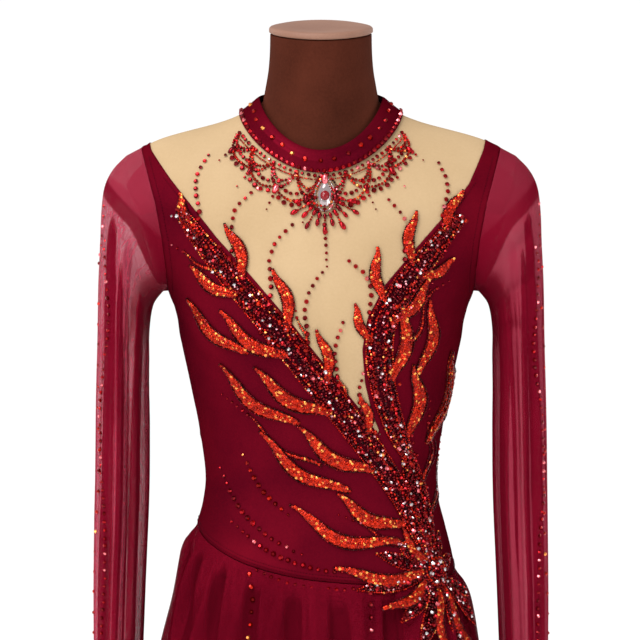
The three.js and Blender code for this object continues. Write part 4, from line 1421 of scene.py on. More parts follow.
@dataclass
class Sleeves:
    """The two long net sleeves, hanging empty from the armholes.

    Attributes:
        columns: Points round.
        rows: Points down.
        wall: How thick the net's wall is.
        around: The radius that turns an angle into millimetres round.
        shoulder_fold: Across, height and slope of the line where the cap is folded over.
        fold_depth: How deep that fold is beside the body and at the outside.
        bunch: Across and height of the underarm's gathered net, and how wide and tall it is.
        left_creases: The left sleeve's creases, by millimetres round from the front and by height.
        right_creases: The right sleeve's.
        left_pleats: The left sleeve's pleats.
        right_pleats: The right sleeve's.
    """

    columns: int = 240
    rows: int = 104
    wall: float = 0.35
    around: float = 58.0
    shoulder_fold: tuple[float, float, float] = (162, 1292, 0.95)
    fold_depth: tuple[float, float] = (55, 18)
    bunch: tuple[float, float, float, float] = (172, 1212, 20, 34)
    left_creases: tuple[Crease, ...] = (
        Crease((-62, 1262), (40, 1350), 3.4, 8, 5),
        Crease((-58, 1236), (52, 1306), 3.8, 8, 7),
        Crease((-60, 1212), (44, 1256), 3.2, 7, 6),
        Crease((-66, 1190), (18, 1196), 2.8, 8, 5),
        Crease((-22, 1180), (-8, 900), 3.0, 7, 5),
        Crease((22, 1190), (12, 940), 2.6, 6, -4),
        Crease((58, 1240), (50, 1010), 2.2, 7, 5),
        Crease((34, 1010), (26, 800), 2.4, 6, 3),
        Crease((-48, 1080), (-40, 830), 2.6, 7, -4),
        Crease((240, 1250), (150, 1330), 3.0, 8, -5),
        Crease((236, 1215), (140, 1276), 3.2, 8, -6),
        Crease((150, 1200), (166, 930), 2.6, 7, 5),
        Crease((204, 1150), (196, 860), 2.8, 7, -4),
        Crease((112, 1160), (122, 980), 2.2, 6, 4),
    )
    right_creases: tuple[Crease, ...] = (
        Crease((-60, 1256), (46, 1344), 3.6, 8, 6),
        Crease((-62, 1228), (36, 1292), 3.4, 9, 8),
        Crease((-56, 1204), (56, 1262), 3.0, 7, 5),
        Crease((-68, 1184), (10, 1178), 2.6, 7, -5),
        Crease((-16, 1170), (-26, 860), 3.1, 7, -5),
        Crease((30, 1200), (34, 980), 2.4, 7, 5),
        Crease((64, 1220), (54, 1060), 2.0, 6, -4),
        Crease((16, 1000), (24, 800), 2.6, 6, -3),
        Crease((-50, 1110), (-54, 880), 2.4, 7, 4),
        Crease((242, 1240), (146, 1322), 3.1, 8, -6),
        Crease((238, 1206), (150, 1262), 3.0, 8, -5),
        Crease((144, 1190), (150, 960), 2.6, 7, -5),
        Crease((196, 1130), (206, 880), 2.6, 7, 5),
        Crease((120, 1180), (108, 1010), 2.0, 6, -4),
    )

    left_pleats: tuple[Pleat, ...] = (
        Pleat(26, 12, 1.4, 12, 4), Pleat(62, 4, 4, 12, 3, 0.6), Pleat(6, 6, 2.2, 12, 3, 1.5),
        Pleat(-24, 4, 3.2, 9, 5, 1.3), Pleat(-46, 13, 2.4, 12, 3), Pleat(145, 8, 2, 12, 4),
        Pleat(162, 5, 3, 12, 4, 1.5), Pleat(184, 11, 2, 12, 5), Pleat(222, 7, 3, 12, 4, 1.5),
        Pleat(258, 10, 4, 12, 4))
    right_pleats: tuple[Pleat, ...] = (
        Pleat(25, 13, 1.6, 12, 3), Pleat(-1, 7, 2.6, 12, 4, 1.3), Pleat(-43, 12, 2.2, 12, 4),
        Pleat(-20, 3, 4, 12, 3, 1.2), Pleat(66, 4, 4.5, 12, 2, 0.5), Pleat(142, 7, 2, 12, 4),
        Pleat(158, 6, 3, 12, 3, 1.5), Pleat(176, 12, 2, 12, 4), Pleat(214, 6, 3, 12, 5, 1.5),
        Pleat(252, 11, 4, 12, 4))

    def fold(self, angle: Array) -> Array:
        """The share of a sleeve's long folds that an angle has, 0 to 1."""
        phase = 7 * angle + 0.7 * np.sin(2 * angle + 0.6) + 0.4 * np.sin(3 * angle)
        return (1 - np.cos(phase)) / 2

    def veil(self, points: Array) -> tuple[Array, Array]:
        """The shares of the smooth cap, and of the fold that crosses it to the underarm.

        Args:
            points: The points.

        Returns:
            Both shares.
        """
        x = points[..., 0]
        side, level, slope = self.shoulder_fold
        slant = points[..., 2] - (level + slope * (x - side))
        inner, outer = self.fold_depth
        deep = outer + (inner - outer) * (1 - ease(165, 200, x))
        cap = ease(-deep - 3, -deep + 1, slant)
        return cap, cap * (1 - ease(-2, 1.5, slant))

    def surface(self, angle: Array, v: Array, creases: Sequence[Crease], pleats: Sequence[Pleat],
                out: Array = 0.0) -> tuple[Array, Array]:
        """The left sleeve's points.

        Args:
            angle: Round the sleeve, 90 degrees being the outside.
            v: Down it; -1 is the armhole and 10 the hem.
            creases: Its creases.
            pleats: Its pleats.
            out: How far the points stand off.

        Returns:
            The points, and how many layers of net lie at each.
        """
        angle, v = np.broadcast_arrays(angle, v)
        row = catmull(SLEEVE_RINGS, np.maximum(v, 0))
        outer_x, outer_z, inner_x, inner_z, depth, fold = np.moveaxis(row, -1, 0)
        across = np.stack([outer_x - inner_x, 0 * fold, outer_z - inner_z], axis=-1) / 2
        ahead = np.stack([0 * fold, -depth, 0 * fold], axis=-1)
        spoke = across * np.sin(angle)[..., None] + ahead * np.cos(angle)[..., None]
        middle = np.stack([(outer_x + inner_x) / 2, 0 * fold, (outer_z + inner_z) / 2], axis=-1)
        level = (middle + spoke)[..., 2]
        push = fold * self.fold(angle) * 0.8
        push = push + pressed(creases, angle * self.around, level) * ease(-0.6, 1.2, v)
        fine = waves(31, 6, 22, 41)(angle + 0.0004 * level)
        push = push + 0.28 * fine * ease(2, 5, v)
        # Both walls of the sleeve and its fine gathers, then more net in the cap, the fold and the bunch; the
        # extra net low in the cap is painted shade, darker towards the underarm.
        layers = 1.3 + 0.42 * np.clip(fine * ease(2, 5, v), 0, 1)
        cap, fold_over = self.veil(middle + spoke)
        side, under, wide, tall = self.bunch
        bunch = np.exp(-(((middle + spoke)[..., 0] - side) / wide) ** 2 - ((level - under) / tall) ** 2)
        low = cap * (1 - ease(1270, 1345, (middle + spoke)[..., 2]))
        layers = layers + 0.9 * cap + 0.9 * low + 2.2 * fold_over + 2.6 * bunch * (1 - cap)
        for pleat in pleats:
            cover, aside = pleat.cover(angle, v)
            push = push - cover * (1.3 + 0.9 * aside) * pleat.layers / 2
            layers = layers + 1.7 * pleat.layers * cover
        ring = middle + spoke - unit(spoke) * (push - out)[..., None]
        joined = armhole_point(angle) + np.array([0, 0, 1.8]) * np.clip(np.sin(angle), 0, 1)[..., None] ** 2
        share = ease(-1, 0.05, v)[..., None]
        slope = np.abs(np.gradient(push, axis=1)) if push.ndim > 1 else np.zeros_like(push)
        layers = layers + 0.9 * np.clip(slope / (self.around * TAU / self.columns), 0, 1)
        return np.where((v < 0.05)[..., None], joined + (ring - joined) * share, ring), layers

    def _side(self, name: str, side: int, creases: Sequence[Crease], pleats: Sequence[Pleat],
              material: bpy.types.Material) -> None:
        """Builds one sleeve.

        Args:
            name: Its side in words.
            side: 1 for the wearer's left and -1 for the right.
            creases: Its creases.
            pleats: Its pleats.
            material: The net's material.
        """
        angle = (np.arange(self.columns) * TAU / self.columns - 75 * DEG)[None, :]
        v = np.concatenate([np.linspace(-1, 0, 14)[:-1], np.linspace(0, 10, self.rows)])[::-1][:, None]
        hem = 0.5 * np.exp(-(((v - 9.93) / 0.05) ** 2)) + 0.7 * np.exp(-(((v + 0.9) / 0.12) ** 2))
        points, layers = self.surface(angle, v, creases, pleats, hem)
        cap, fold_over = self.veil(points)
        # Painted light: pale is how much of the painted colour of light through the net each place takes,
        # more high on the cap and in single layers of net, and less on the wearer's left sleeve, painted as
        # the side away from the key lamp.
        pale = (0.06 + 0.32 * ease(1280, 1350, points[..., 2])) * cap * (1 - 0.9 * fold_over)
        pale = (pale + 0.8 * (1 - cap) * (1 - ease(1.5, 2.3, layers))) * (0.55 if side > 0 else 1)
        # Painted shade: the wearer's left sleeve gets extra layers, so it shows denser and darker, as the
        # side away from the key lamp.
        layers = layers + (1.2 if side > 0 else 0)
        layers = layers + 1.4 * (hem > 0.25)
        flat = ring_uv(points)
        points = points * (side, 1, 1)
        faces = grid_faces(*points.shape[:2], True)
        faces = faces if side > 0 else faces[:, ::-1]
        fields = {"gathered": layers, "pale": pale}
        piece = mesh_piece(f"sleeve_{name}_net", points, faces, flat, fields)
        thicken(piece, self.wall)
        finish_piece(piece, material, "wine_net", f"sleeve_{name}")

    def build(self, wardrobe: "Wardrobe") -> None:
        """Builds and dresses both sleeves.

        Args:
            wardrobe: The finishes.
        """
        material = wardrobe.sleeve_net.material()
        self._side("left", 1, self.left_creases, self.left_pleats, material)
        self._side("right", -1, self.right_creases, self.right_pleats, material)


# ---------------------------------------------------------------- skirts
def fold_wave(turn: Array) -> Array:
    """The skirt's folds round its turn, from -1 in a hollow to 1 on a ridge."""
    return np.cos(20 * turn + 0.9 * np.sin(3 * turn + 1) + 0.5 * np.sin(5 * turn + 2))


def fold_drift(turn: Array, below: Array) -> Array:
    """The turn at the seam of the fold that lies at a turn and a depth below the seam."""
    return turn + 0.035 * waves(23, 3, 2, 6)(turn) * below / SKIRT_LENGTH


def fold_swing(below: Array) -> Array:
    """How far the folds swing in and out at a depth below the seam."""
    return 4.5 * ease(0, 30, below) + 9.5 * below / SKIRT_LENGTH


def skirt_ring(level: Array) -> Array:
    """The skirt's ring at a height."""
    place = bisect(lambda t: catmull(SKIRT_RINGS, t)[..., 0], level, 0, len(SKIRT_RINGS) - 1)
    return catmull(SKIRT_RINGS, place)


def skirt_point(turn: Array, below: Array, inset: Array = 0.0, wave: Array | None = None) -> Array:
    """A point of the skirt, with its folds on it.

    Args:
        turn: The angle round the figure, in radians.
        below: How far below the waist seam.
        inset: How far in from the ring.
        wave: The folds there, or None for its own.

    Returns:
        The point.
    """
    turn, below = np.broadcast_arrays(np.asarray(turn, float), np.asarray(below, float))
    wave = fold_wave(turn) if wave is None else wave
    level = seam_level(turn) - SEAM_GAP - below
    place = FIGURE.place_at_level(turn, np.maximum(level, FIGURE_ROWS[0, 0]))
    hip = FIGURE.point(turn, place, -np.broadcast_to(inset, turn.shape))
    ring = skirt_ring(level)
    depth = np.where(np.sin(turn) < 0, ring[..., 2], ring[..., 3])
    radius = np.stack([ring[..., 1] * np.cos(turn), depth * np.sin(turn), 0 * turn], axis=-1)
    length = np.linalg.norm(radius, axis=-1)
    radius = radius * ((length - inset + fold_swing(below) * wave) / length)[..., None]
    point = hip + (radius - hip) * ease(0, 16, below)[..., None]
    point[..., 2] = level
    return point


@dataclass
class Skirts:
    """The sheer gathered skirt with its wrap edge, over its opaque underskirt.

    Attributes:
        start: The turn of the wrap edge, in degrees.
        wrap: How far the skirt overlaps, in degrees.
        step: How far the lower layer lies inside the upper one.
        columns: Points round the sheer skirt.
        rows: Points down it.
        under_columns: Points round the underskirt.
        under_rows: Points down it.
        walls: How thick the sheer skirt and the underskirt are.
        hem: The sheer skirt's lowest height.
        rise: How far the underskirt's hem is above it.
        around: The radius that turns an angle into millimetres round.
        creases: Its creases, by millimetres round from the front and below the seam.
    """

    start: float = -59.0
    wrap: float = 16.0
    step: float = 2.4
    columns: int = 500
    rows: int = 60
    under_columns: int = 260
    under_rows: int = 40
    walls: tuple[float, float] = (0.4, 0.6)
    hem: float = 320.0
    rise: float = 25.0
    around: float = 135.0
    creases: tuple[Crease, ...] = (
        Crease((-100, 14), (-106, 130), 2.6, 6, 3),
        Crease((-72, 10), (-66, 96), 2.2, 5, -3),
        Crease((-44, 12), (-48, 170), 3.0, 7, 4),
        Crease((-14, 12), (-6, 110), 2.4, 5, -3),
        Crease((18, 10), (12, 150), 2.8, 6, 3),
        Crease((46, 12), (52, 100), 2.2, 5, 3),
        Crease((104, 14), (112, 150), 2.6, 6, -3),
        Crease((170, 14), (178, 120), 2.4, 6, 4),
        Crease((236, 12), (230, 160), 2.8, 6, -3),
        Crease((300, 14), (308, 110), 2.2, 5, 3),
        Crease((352, 12), (346, 150), 2.6, 6, -4),
        Crease((-170, 14), (-176, 140), 2.8, 6, 4),
        Crease((-230, 12), (-224, 110), 2.4, 5, -3),
        Crease((-296, 14), (-304, 160), 2.8, 6, 3),
    )

    def build(self, wardrobe: "Wardrobe") -> None:
        """Builds and dresses both skirts."""
        self._outer(wardrobe.skirt_net.material())
        self._under(wardrobe.lining.material())

    def deepest(self, turn: Array) -> Array:
        """How far below the seam the hem is at a turn in radians."""
        return seam_level(turn) - SEAM_GAP - self.hem

    def surface(self, angle: Array, below: Array) -> Array:
        """The sheer skirt's points.

        Args:
            angle: Degrees round from the wrap edge.
            below: How far below the waist seam.

        Returns:
            The points.
        """
        angle, below = np.broadcast_arrays(np.asarray(angle, float), np.asarray(below, float))
        turn = (self.start + angle) * DEG
        uneven = 0.82 + 0.26 * waves(11, 4, 3, 9)(turn)
        fine = waves(7, 5, 58, 83)(turn) * ease(2, 10, below) * (1 - ease(26, 74, below)) * 0.7
        middle = waves(19, 4, 31, 44)(turn + 0.0012 * below) * ease(4, 26, below) * 2.5
        middle = middle * (1 - ease(110, 300, below))
        drift = fold_drift(turn, below)
        tuck = self.step * ease(360 - self.wrap, 360 - 4, angle)
        arc = ((turn / DEG + 90 + 180) % 360 - 180) * DEG * self.around
        push = pressed(self.creases, arc, below) - fine - middle
        return skirt_point(turn, below, tuck + push, fold_wave(drift) * uneven)

    def _outer(self, material: bpy.types.Material) -> None:
        """Builds the sheer skirt.

        Args:
            material: Its material.
        """
        angle = np.linspace(0, 360 + self.wrap, self.columns)[None, :]
        deepest = self.deepest((self.start + angle) * DEG)
        below = (np.linspace(0, 1, self.rows)[:, None] ** 1.9) * deepest
        points = self.surface(angle, below)
        slope = np.abs(np.gradient(np.linalg.norm(points[..., :2], axis=-1), axis=1))
        slope = slope / np.maximum(np.linalg.norm(np.gradient(points, axis=1), axis=-1), 0.2)
        edge = np.exp(-((angle / 0.9) ** 2)) + ease(deepest - 9, deepest - 4, below)
        turn = (self.start + angle) * DEG
        # Painted shade: how far each place lies in a fold's hollow.
        painted_hollow_shade = np.clip(0.15 - fold_wave(fold_drift(turn, below)), 0, 1) ** 1.3
        # More net shows where a fold turns away, at the edges and under the seam; the hollows get extra
        # layers as painted shade, so they show denser and darker.
        layers = 1 + 1.4 * np.clip(slope, 0, 0.9) + edge + 0.8 * (1 - ease(0, 22, below))
        layers = layers + 3.6 * painted_hollow_shade * ease(4, 40, below)
        faces = grid_faces(*points.shape[:2], False)[:, ::-1]
        skirt = mesh_piece("skirt_net", points, faces, flat_uv(points), {"gathered": layers})
        thicken(skirt, self.walls[0])
        finish_piece(skirt, material, "wine_net", "skirt_outer")

    def _under(self, material: bpy.types.Material) -> None:
        """Builds the opaque underskirt.

        Args:
            material: Its material.
        """
        turn = np.arange(self.under_columns)[None, :] * TAU / self.under_columns
        deepest = self.deepest(turn) - self.rise
        below = (np.linspace(0, 1, self.under_rows)[:, None] ** 1.6) * deepest
        inset = 4.6 + fold_swing(below) - 0.5
        gather = waves(13, 4, 26, 47)(turn) * ease(0, 20, below) * 0.7
        gather = gather + fold_wave(turn) * ease(20, 300, below) * 1.6
        points = skirt_point(turn, below, inset - gather, np.zeros(np.broadcast(turn, below).shape))
        faces = grid_faces(*points.shape[:2], True)[:, ::-1]
        skirt = mesh_piece("underskirt", points, faces, ring_uv(points))
        thicken(skirt, self.walls[1])
        finish_piece(skirt, material, "wine_lining", "skirt_under")


# ---------------------------------------------------------------- sewn beads
class Stone(Enum):
    """The shapes that are sewn on in rows."""

    BEAD = "bead"
    CHATON = "chaton"
    SEQUIN = "sequin"
    DROP = "drop"
    STITCH = "stitch"


@dataclass
class Thread:
    """A line of sewing on the cloth.

    Attributes:
        points: Where it runs.
        facing: Which way the cloth faces at each point.
        size: The beads' share of full size at each point.
    """

    points: Array
    facing: Array
    size: Array

    @classmethod
    def on(cls, surface: Surface, line: Array, lift: float, size: Array | float = 1.0) -> "Thread":
        """Lays a line of across and up values on a surface.

        Args:
            surface: Gives a point for across, up and how far out.
            line: The line, one point a row.
            lift: How far the beads' middles stand off.
            size: The beads' share of full size, for all or for each point.

        Returns:
            The thread.
        """
        low, high = surface(line[:, 0], line[:, 1], 0.0), surface(line[:, 0], line[:, 1], 1.0)
        facing = unit(high - low)
        return cls(low + facing * lift, facing, np.broadcast_to(np.asarray(size, float), (len(line),)).copy())

    def mirrored(self) -> "Thread":
        """The same thread on the other side of the body."""
        flip = np.array([-1, 1, 1])
        return Thread(self.points * flip, self.facing * flip, self.size)


class GeometryWiring(Wiring):
    """Builds a Geometry Nodes tree."""

    def __init__(self, name: str, inputs: dict[str, str]) -> None:
        """Starts a tree with named inputs and one geometry output.

        Args:
            name: The tree's name.
            inputs: Each input's socket type.
        """
        tree = bpy.data.node_groups.new(name, "GeometryNodeTree")
        super().__init__(tree)
        for key, kind in inputs.items():
            tree.interface.new_socket(name=key, in_out="INPUT", socket_type=kind)
        tree.interface.new_socket(name="Geometry", in_out="OUTPUT", socket_type="NodeSocketGeometry")
        self.ins = self.add("NodeGroupInput").outputs
        self.out = self.add("NodeGroupOutput").inputs[0]

    def named(self, name: str, kind: str) -> bpy.types.NodeSocket:
        """Reads an attribute."""
        return self.add("GeometryNodeInputNamedAttribute", {"Name": name}, data_type=kind).outputs[0]

    def chance(self, low: object, high: object, shift: int) -> bpy.types.NodeSocket:
        """A fixed random number or vector for each bead.

        Args:
            low: The lowest number or vector.
            high: The highest.
            shift: What is added to the tree's seed.

        Returns:
            The number's socket.
        """
        vector = isinstance(low, tuple)
        seed = self.math("ADD", self.ins["Seed"], float(shift))
        first = 0 if vector else 2
        node = self.add("FunctionNodeRandomValue", {first: low, first + 1: high, "Seed": seed},
                        data_type="FLOAT_VECTOR" if vector else "FLOAT")
        return node.outputs[0 if vector else "Value"]

    def scatter(self, reach: bpy.types.NodeSocket, shift: int) -> bpy.types.NodeSocket:
        """A random vector for each bead, as long as reach at most on each axis."""
        way = self.chance((-1.0, -1.0, -1.0), (1.0, 1.0, 1.0), shift)
        return self.add("ShaderNodeVectorMath", {0: way, "Scale": reach}, operation="SCALE").outputs[0]


def stone_shape(w: GeometryWiring, shape: Stone) -> bpy.types.NodeSocket:
    """The mesh of one bead, about one unit across.

    Args:
        w: The tree's wiring.
        shape: The shape.

    Returns:
        The mesh's socket.
    """
    if shape is Stone.BEAD:
        return w.add("GeometryNodeMeshIcoSphere", {"Radius": 0.5, "Subdivisions": 1}).outputs[0]
    if shape is Stone.DROP:
        ball = w.add("GeometryNodeMeshIcoSphere", {"Radius": 0.5, "Subdivisions": 2}).outputs[0]
        return w.add("GeometryNodeTransform", {"Geometry": ball, "Scale": (1.0, 0.55, 0.5)}).outputs[0]
    if shape is Stone.STITCH:
        ball = w.add("GeometryNodeMeshIcoSphere", {"Radius": 0.5, "Subdivisions": 1}).outputs[0]
        return w.add("GeometryNodeTransform", {"Geometry": ball, "Scale": (1.0, 0.34, 0.3)}).outputs[0]
    sides, top, tall = (8, 0.26, 0.36) if shape is Stone.CHATON else (7, 0.2, 0.16)
    sizes = {"Vertices": sides, "Radius Top": top, "Radius Bottom": 0.5, "Depth": tall}
    return w.add("GeometryNodeMeshCone", sizes).outputs["Mesh"]


@cache
def sewing_tree(shape: Stone) -> bpy.types.NodeTree:
    """Builds the tree that sews one shape of bead along threads.

    Args:
        shape: The beads' shape.

    Returns:
        The tree.
    """
    numbers = {key: "NodeSocketFloat" for key in ("Spacing", "Size", "Stray", "Tilt")}
    w = GeometryWiring(f"sewn_{shape.value}s", {
        "Geometry": "NodeSocketGeometry", **numbers, "Seed": "NodeSocketInt",
        "Material": "NodeSocketMaterial"})
    curve = w.add("GeometryNodeMeshToCurve", {0: w.ins["Geometry"]}).outputs[0]
    dots = w.add("GeometryNodeCurveToPoints", {0: curve, "Length": w.ins["Spacing"]}, mode="LENGTH")
    facing = w.named("facing", "FLOAT_VECTOR")
    upright = w.add("FunctionNodeAlignRotationToVector", {"Vector": facing}, axis="Z")
    along = w.add("FunctionNodeAlignRotationToVector", {
        "Rotation": upright.outputs[0], "Vector": dots.outputs["Tangent"]}, axis="X", pivot_axis="Z")
    lean = w.scatter(w.ins["Tilt"], 1)
    turned = w.add("FunctionNodeRotateRotation", {0: along.outputs[0], 1: lean}, rotation_space="LOCAL")
    stray = w.scatter(w.ins["Stray"], 2)
    aside = w.add("ShaderNodeVectorMath", {0: stray, 1: facing}, operation="CROSS_PRODUCT")
    moved = w.add("GeometryNodeSetPosition", {"Geometry": dots.outputs[0], "Offset": aside.outputs[0]})
    scale = w.math("MULTIPLY", w.math("MULTIPLY", w.ins["Size"], w.named("size", "FLOAT")),
                   w.chance(0.86, 1.12, 3))
    beads = w.add("GeometryNodeInstanceOnPoints", {
        "Points": moved.outputs[0], "Instance": stone_shape(w, shape), "Rotation": turned.outputs[0],
        "Scale": scale})
    tinted = w.add("GeometryNodeStoreNamedAttribute", {
        "Geometry": beads.outputs[0], "Name": "tint", "Value": w.chance(0.0, 1.0, 4)}, data_type="FLOAT",
        domain="INSTANCE")
    real = w.add("GeometryNodeRealizeInstances", {0: tinted.outputs[0]})
    flat = w.add("GeometryNodeSetShadeSmooth", {
        "Geometry": real.outputs[0], "Shade Smooth": shape is Stone.DROP})
    dressed = w.add("GeometryNodeSetMaterial", {"Geometry": flat.outputs[0], "Material": w.ins["Material"]})
    w.tree.links.new(dressed.outputs[0], w.out)
    return w.tree


@dataclass(frozen=True)
class Sewing:
    """How beads are sewn.

    Attributes:
        shape: The bead's shape.
        size: Its width in millimetres.
        spacing: From one to the next.
        stray: How far each may lie off its line.
        tilt: How far each may lean, in radians.
        seed: Fixes the random draw.
    """

    shape: Stone
    size: float
    spacing: float
    stray: float = 0.0
    tilt: float = 0.12
    seed: int = 1

    def sew(self, name: str, threads: Sequence[Thread], material: bpy.types.Material) -> bpy.types.Object:
        """Sews beads along threads.

        Args:
            name: The piece's name.
            threads: The lines of sewing.
            material: The beads' material.

        Returns:
            The piece, a plain mesh.
        """
        points = np.concatenate([t.points for t in threads]) * MM
        ends = np.cumsum([len(t.points) for t in threads])
        starts = np.concatenate([[0], ends[:-1]])
        edges = [(i, i + 1) for start, end in zip(starts, ends) for i in range(start, end - 1)]
        mesh = bpy.data.meshes.new(name)
        mesh.from_pydata(points.tolist(), edges, [])
        for key, kind, slot in (("facing", "FLOAT_VECTOR", "vector"), ("size", "FLOAT", "value")):
            values = np.concatenate([getattr(t, key) for t in threads]).astype(np.float32)
            mesh.attributes.new(key, kind, "POINT").data.foreach_set(slot, values.ravel())
        piece = link(bpy.data.objects.new(name, mesh))
        rows = piece.modifiers.new("rows", "NODES")
        rows.node_group = sewing_tree(self.shape)
        values = {"Spacing": self.spacing * MM, "Size": self.size * MM, "Stray": self.stray * MM,
                  "Tilt": self.tilt, "Seed": self.seed, "Material": material}
        for socket in rows.node_group.interface.items_tree:
            if socket.in_out == "INPUT" and socket.name in values:
                rows[socket.identifier] = values[socket.name]
        bake(piece)
        piece.data.name = name
        return piece


# The material slot of each finish that is sewn on.
STONE_SLOTS = {**dict.fromkeys(("garnet", "outline", "flame", "ember", "rose"), "red_beads"),
               "crystal": "crystal", "thread": "wine_stretch"}


class Workbasket:
    """Gathers threads by finish and way of sewing, then sews each lot as one piece."""

    def __init__(self, prefix: str) -> None:
        """Starts an empty basket."""
        self.prefix = prefix
        self.lots: dict[str, tuple[Sewing, str, list[Thread]]] = {}

    def add(self, lot: str, sewing: Sewing, finish: str, *threads: Thread) -> None:
        """Puts threads in a lot."""
        self.lots.setdefault(lot, (sewing, finish, []))[2].extend(threads)

    def sew(self, wardrobe: "Wardrobe") -> None:
        """Sews every lot.

        Args:
            wardrobe: The finishes.
        """
        for lot, (sewing, finish, threads) in self.lots.items():
            material = getattr(wardrobe, finish).material()
            piece = sewing.sew(f"{self.prefix}_{lot}", threads, material)
            finish_piece(piece, None, STONE_SLOTS[finish])


TINY_BEAD = Sewing(Stone.BEAD, 2.1, 2.0, 0.25, 0.8, 3)
SEED_BEAD = Sewing(Stone.BEAD, 2.6, 2.5, 0.35, 0.8, 5)
GRAVEL = Sewing(Stone.BEAD, 3.2, 3.1, 1.1, 1.4, 7)
CHATON = Sewing(Stone.CHATON, 4.2, 6.5, 0.4, 0.2, 11)
BIG_CHATON = Sewing(Stone.CHATON, 5.6, 12.0, 0.8, 0.2, 13)
SPANGLE = Sewing(Stone.SEQUIN, 4.0, 2.5, 0.35, 0.34, 17)


# ---------------------------------------------------------------- leaves and vines
def front_cloth(across: Array, up: Array, out: Array) -> Array:
    """The front of the dress as a surface of x and height."""
    return FIGURE.face(across, up, out)


def hip_cloth(across: Array, up: Array, out: Array) -> Array:
    """The left hip as a surface, over the waist seam.

    Args:
        across: Millimetres round from the rosette.
        up: Millimetres above it.
        out: How far out.

    Returns:
        The point.
    """
    turn = ROSETTE[0] * DEG + np.asarray(across, float) / HIP_RADIUS
    level = ROSETTE[1] + np.asarray(up, float)

    def base(t: Array, z: Array) -> Array:
        """The bodice above the seam and the skirt's ridges below it."""
        below = seam_level(t) - SEAM_GAP - z
        body = FIGURE.base(t, FIGURE.place_at_level(t, z))
        skirt = skirt_point(t, np.maximum(below, 0), 0.0, np.ones(np.shape(t)))
        return np.where((below < 0)[..., None], body, skirt)

    facing = unit(np.cross(base(turn + 0.02, level) - base(turn - 0.02, level),
                           base(turn, level + 3) - base(turn, level - 3)))
    return base(turn, level) + facing * np.asarray(out)[..., None]


@dataclass(frozen=True)
class Leaf:
    """A pointed leaf.

    Attributes:
        x: Its root's place across.
        z: Its root's height.
        angle: Its heading in radians.
        length: How long it is.
        width: How wide it is.
        bend: How far it turns over its length, in radians.
        curl: How far it swings to one side and back, in radians.
    """

    x: float
    z: float
    angle: float
    length: float
    width: float
    bend: float
    curl: float = 0.0

    def line(self, aside: float, first: float = 0.0, last: float = 1.0, count: int = 40) -> Array:
        """A line along the leaf.

        Args:
            aside: The share of its half width, left of its middle.
            first: The share of its length where the line begins.
            last: Where it ends.
            count: How many points it has.

        Returns:
            The line, as across and up.
        """
        share = np.linspace(first, last, count)
        reach, steps = 1.4, 80
        fine = np.linspace(0, reach, round(reach * steps) + 1)
        heading = self.angle + self.bend * fine + self.curl * np.sin(TAU * np.minimum(fine, 1))
        path = np.cumsum(direction(heading), axis=0) * self.length / steps
        middle = np.stack([self.x + np.interp(share, fine, path[:, 0]),
                           self.z + np.interp(share, fine, path[:, 1])], axis=-1)
        along = unit(np.gradient(middle, axis=0))
        return middle + left_of(along) * (self.half(share) * aside)[:, None]

    def half(self, share: Array) -> Array:
        """Half the leaf's width at a share of its length."""
        return np.maximum(0.6, self.width / 2 * np.sin(math.pi * (0.14 + 0.86 * share) ** 1.15))


@dataclass(frozen=True)
class Sprig:
    """A leaf or tendril that grows off a vine.

    Attributes:
        at: Where it grows, as a share of the vine.
        side: 1 for the left of the vine, -1 for the right.
        length: How long its leaf is.
        width: How wide.
        spread: How far it leans off the vine, in degrees.
        bend: The leaf's bend away from the vine.
        gap: From the vine's middle to its root.
    """

    at: float
    side: int
    length: float
    width: float
    spread: float
    bend: float = 0.0
    gap: float = 7.0


@dataclass
class Vine:
    """A beaded band along an edge of the neckline, with leaves that grow off it.

    Attributes:
        name: The first word of its pieces' names.
        line: Points on its middle line, as across and up.
        sprigs: Its leaves.
        half: Half its greatest width.
        tendrils: Its slender beaded shoots.
        tip: Its ends' share of that width.
        lift: How far its beads stand off.
    """

    name: str
    line: tuple[tuple[float, float], ...]
    sprigs: tuple[Sprig, ...]
    half: float = 12.0
    tendrils: tuple[Sprig, ...] = ()
    tip: float = 0.35
    lift: float = 1.6

    def curve(self, count: int = 240) -> tuple[Array, Array]:
        """The vine's middle line and its directions."""
        middle = smooth_line(self.line, count)
        return middle, unit(np.gradient(middle, axis=0))

    def width(self, share: Array) -> Array:
        """Half the band's width along it."""
        return self.half * (self.tip + (1 - self.tip) * np.sin(math.pi * np.clip(share, 0, 1)) ** 0.6)

    def beside(self, aside: float, wander: float = 0.0, seed: int = 0) -> Array:
        """A line beside the middle.

        Args:
            aside: The share of the half width, left of the middle.
            wander: How far it strays, as such a share.
            seed: Fixes the random draw.

        Returns:
            The line, as across and up.
        """
        middle, along = self.curve()
        share = np.linspace(0, 1, len(middle))
        sway = wander * waves(seed, 4, 2, 11)(share * math.pi)
        return middle + left_of(along) * (self.width(share) * (aside + sway))[:, None]

    def grown(self, sprigs: Sequence[Sprig]) -> list[Leaf]:
        """Places leaves or tendrils on the vine.

        Args:
            sprigs: What grows.

        Returns:
            A leaf for each.
        """
        middle, along = self.curve(400)
        made = []
        for sprig in sprigs:
            i = round(sprig.at * (len(middle) - 1))
            angle = math.atan2(along[i, 1], along[i, 0]) + sprig.side * sprig.spread * DEG
            root = middle[i] + sprig.side * sprig.gap * left_of(along[i])
            made.append(Leaf(*root, angle, sprig.length, sprig.width, sprig.bend * sprig.side,
                             0.38 * sprig.side))
        return made


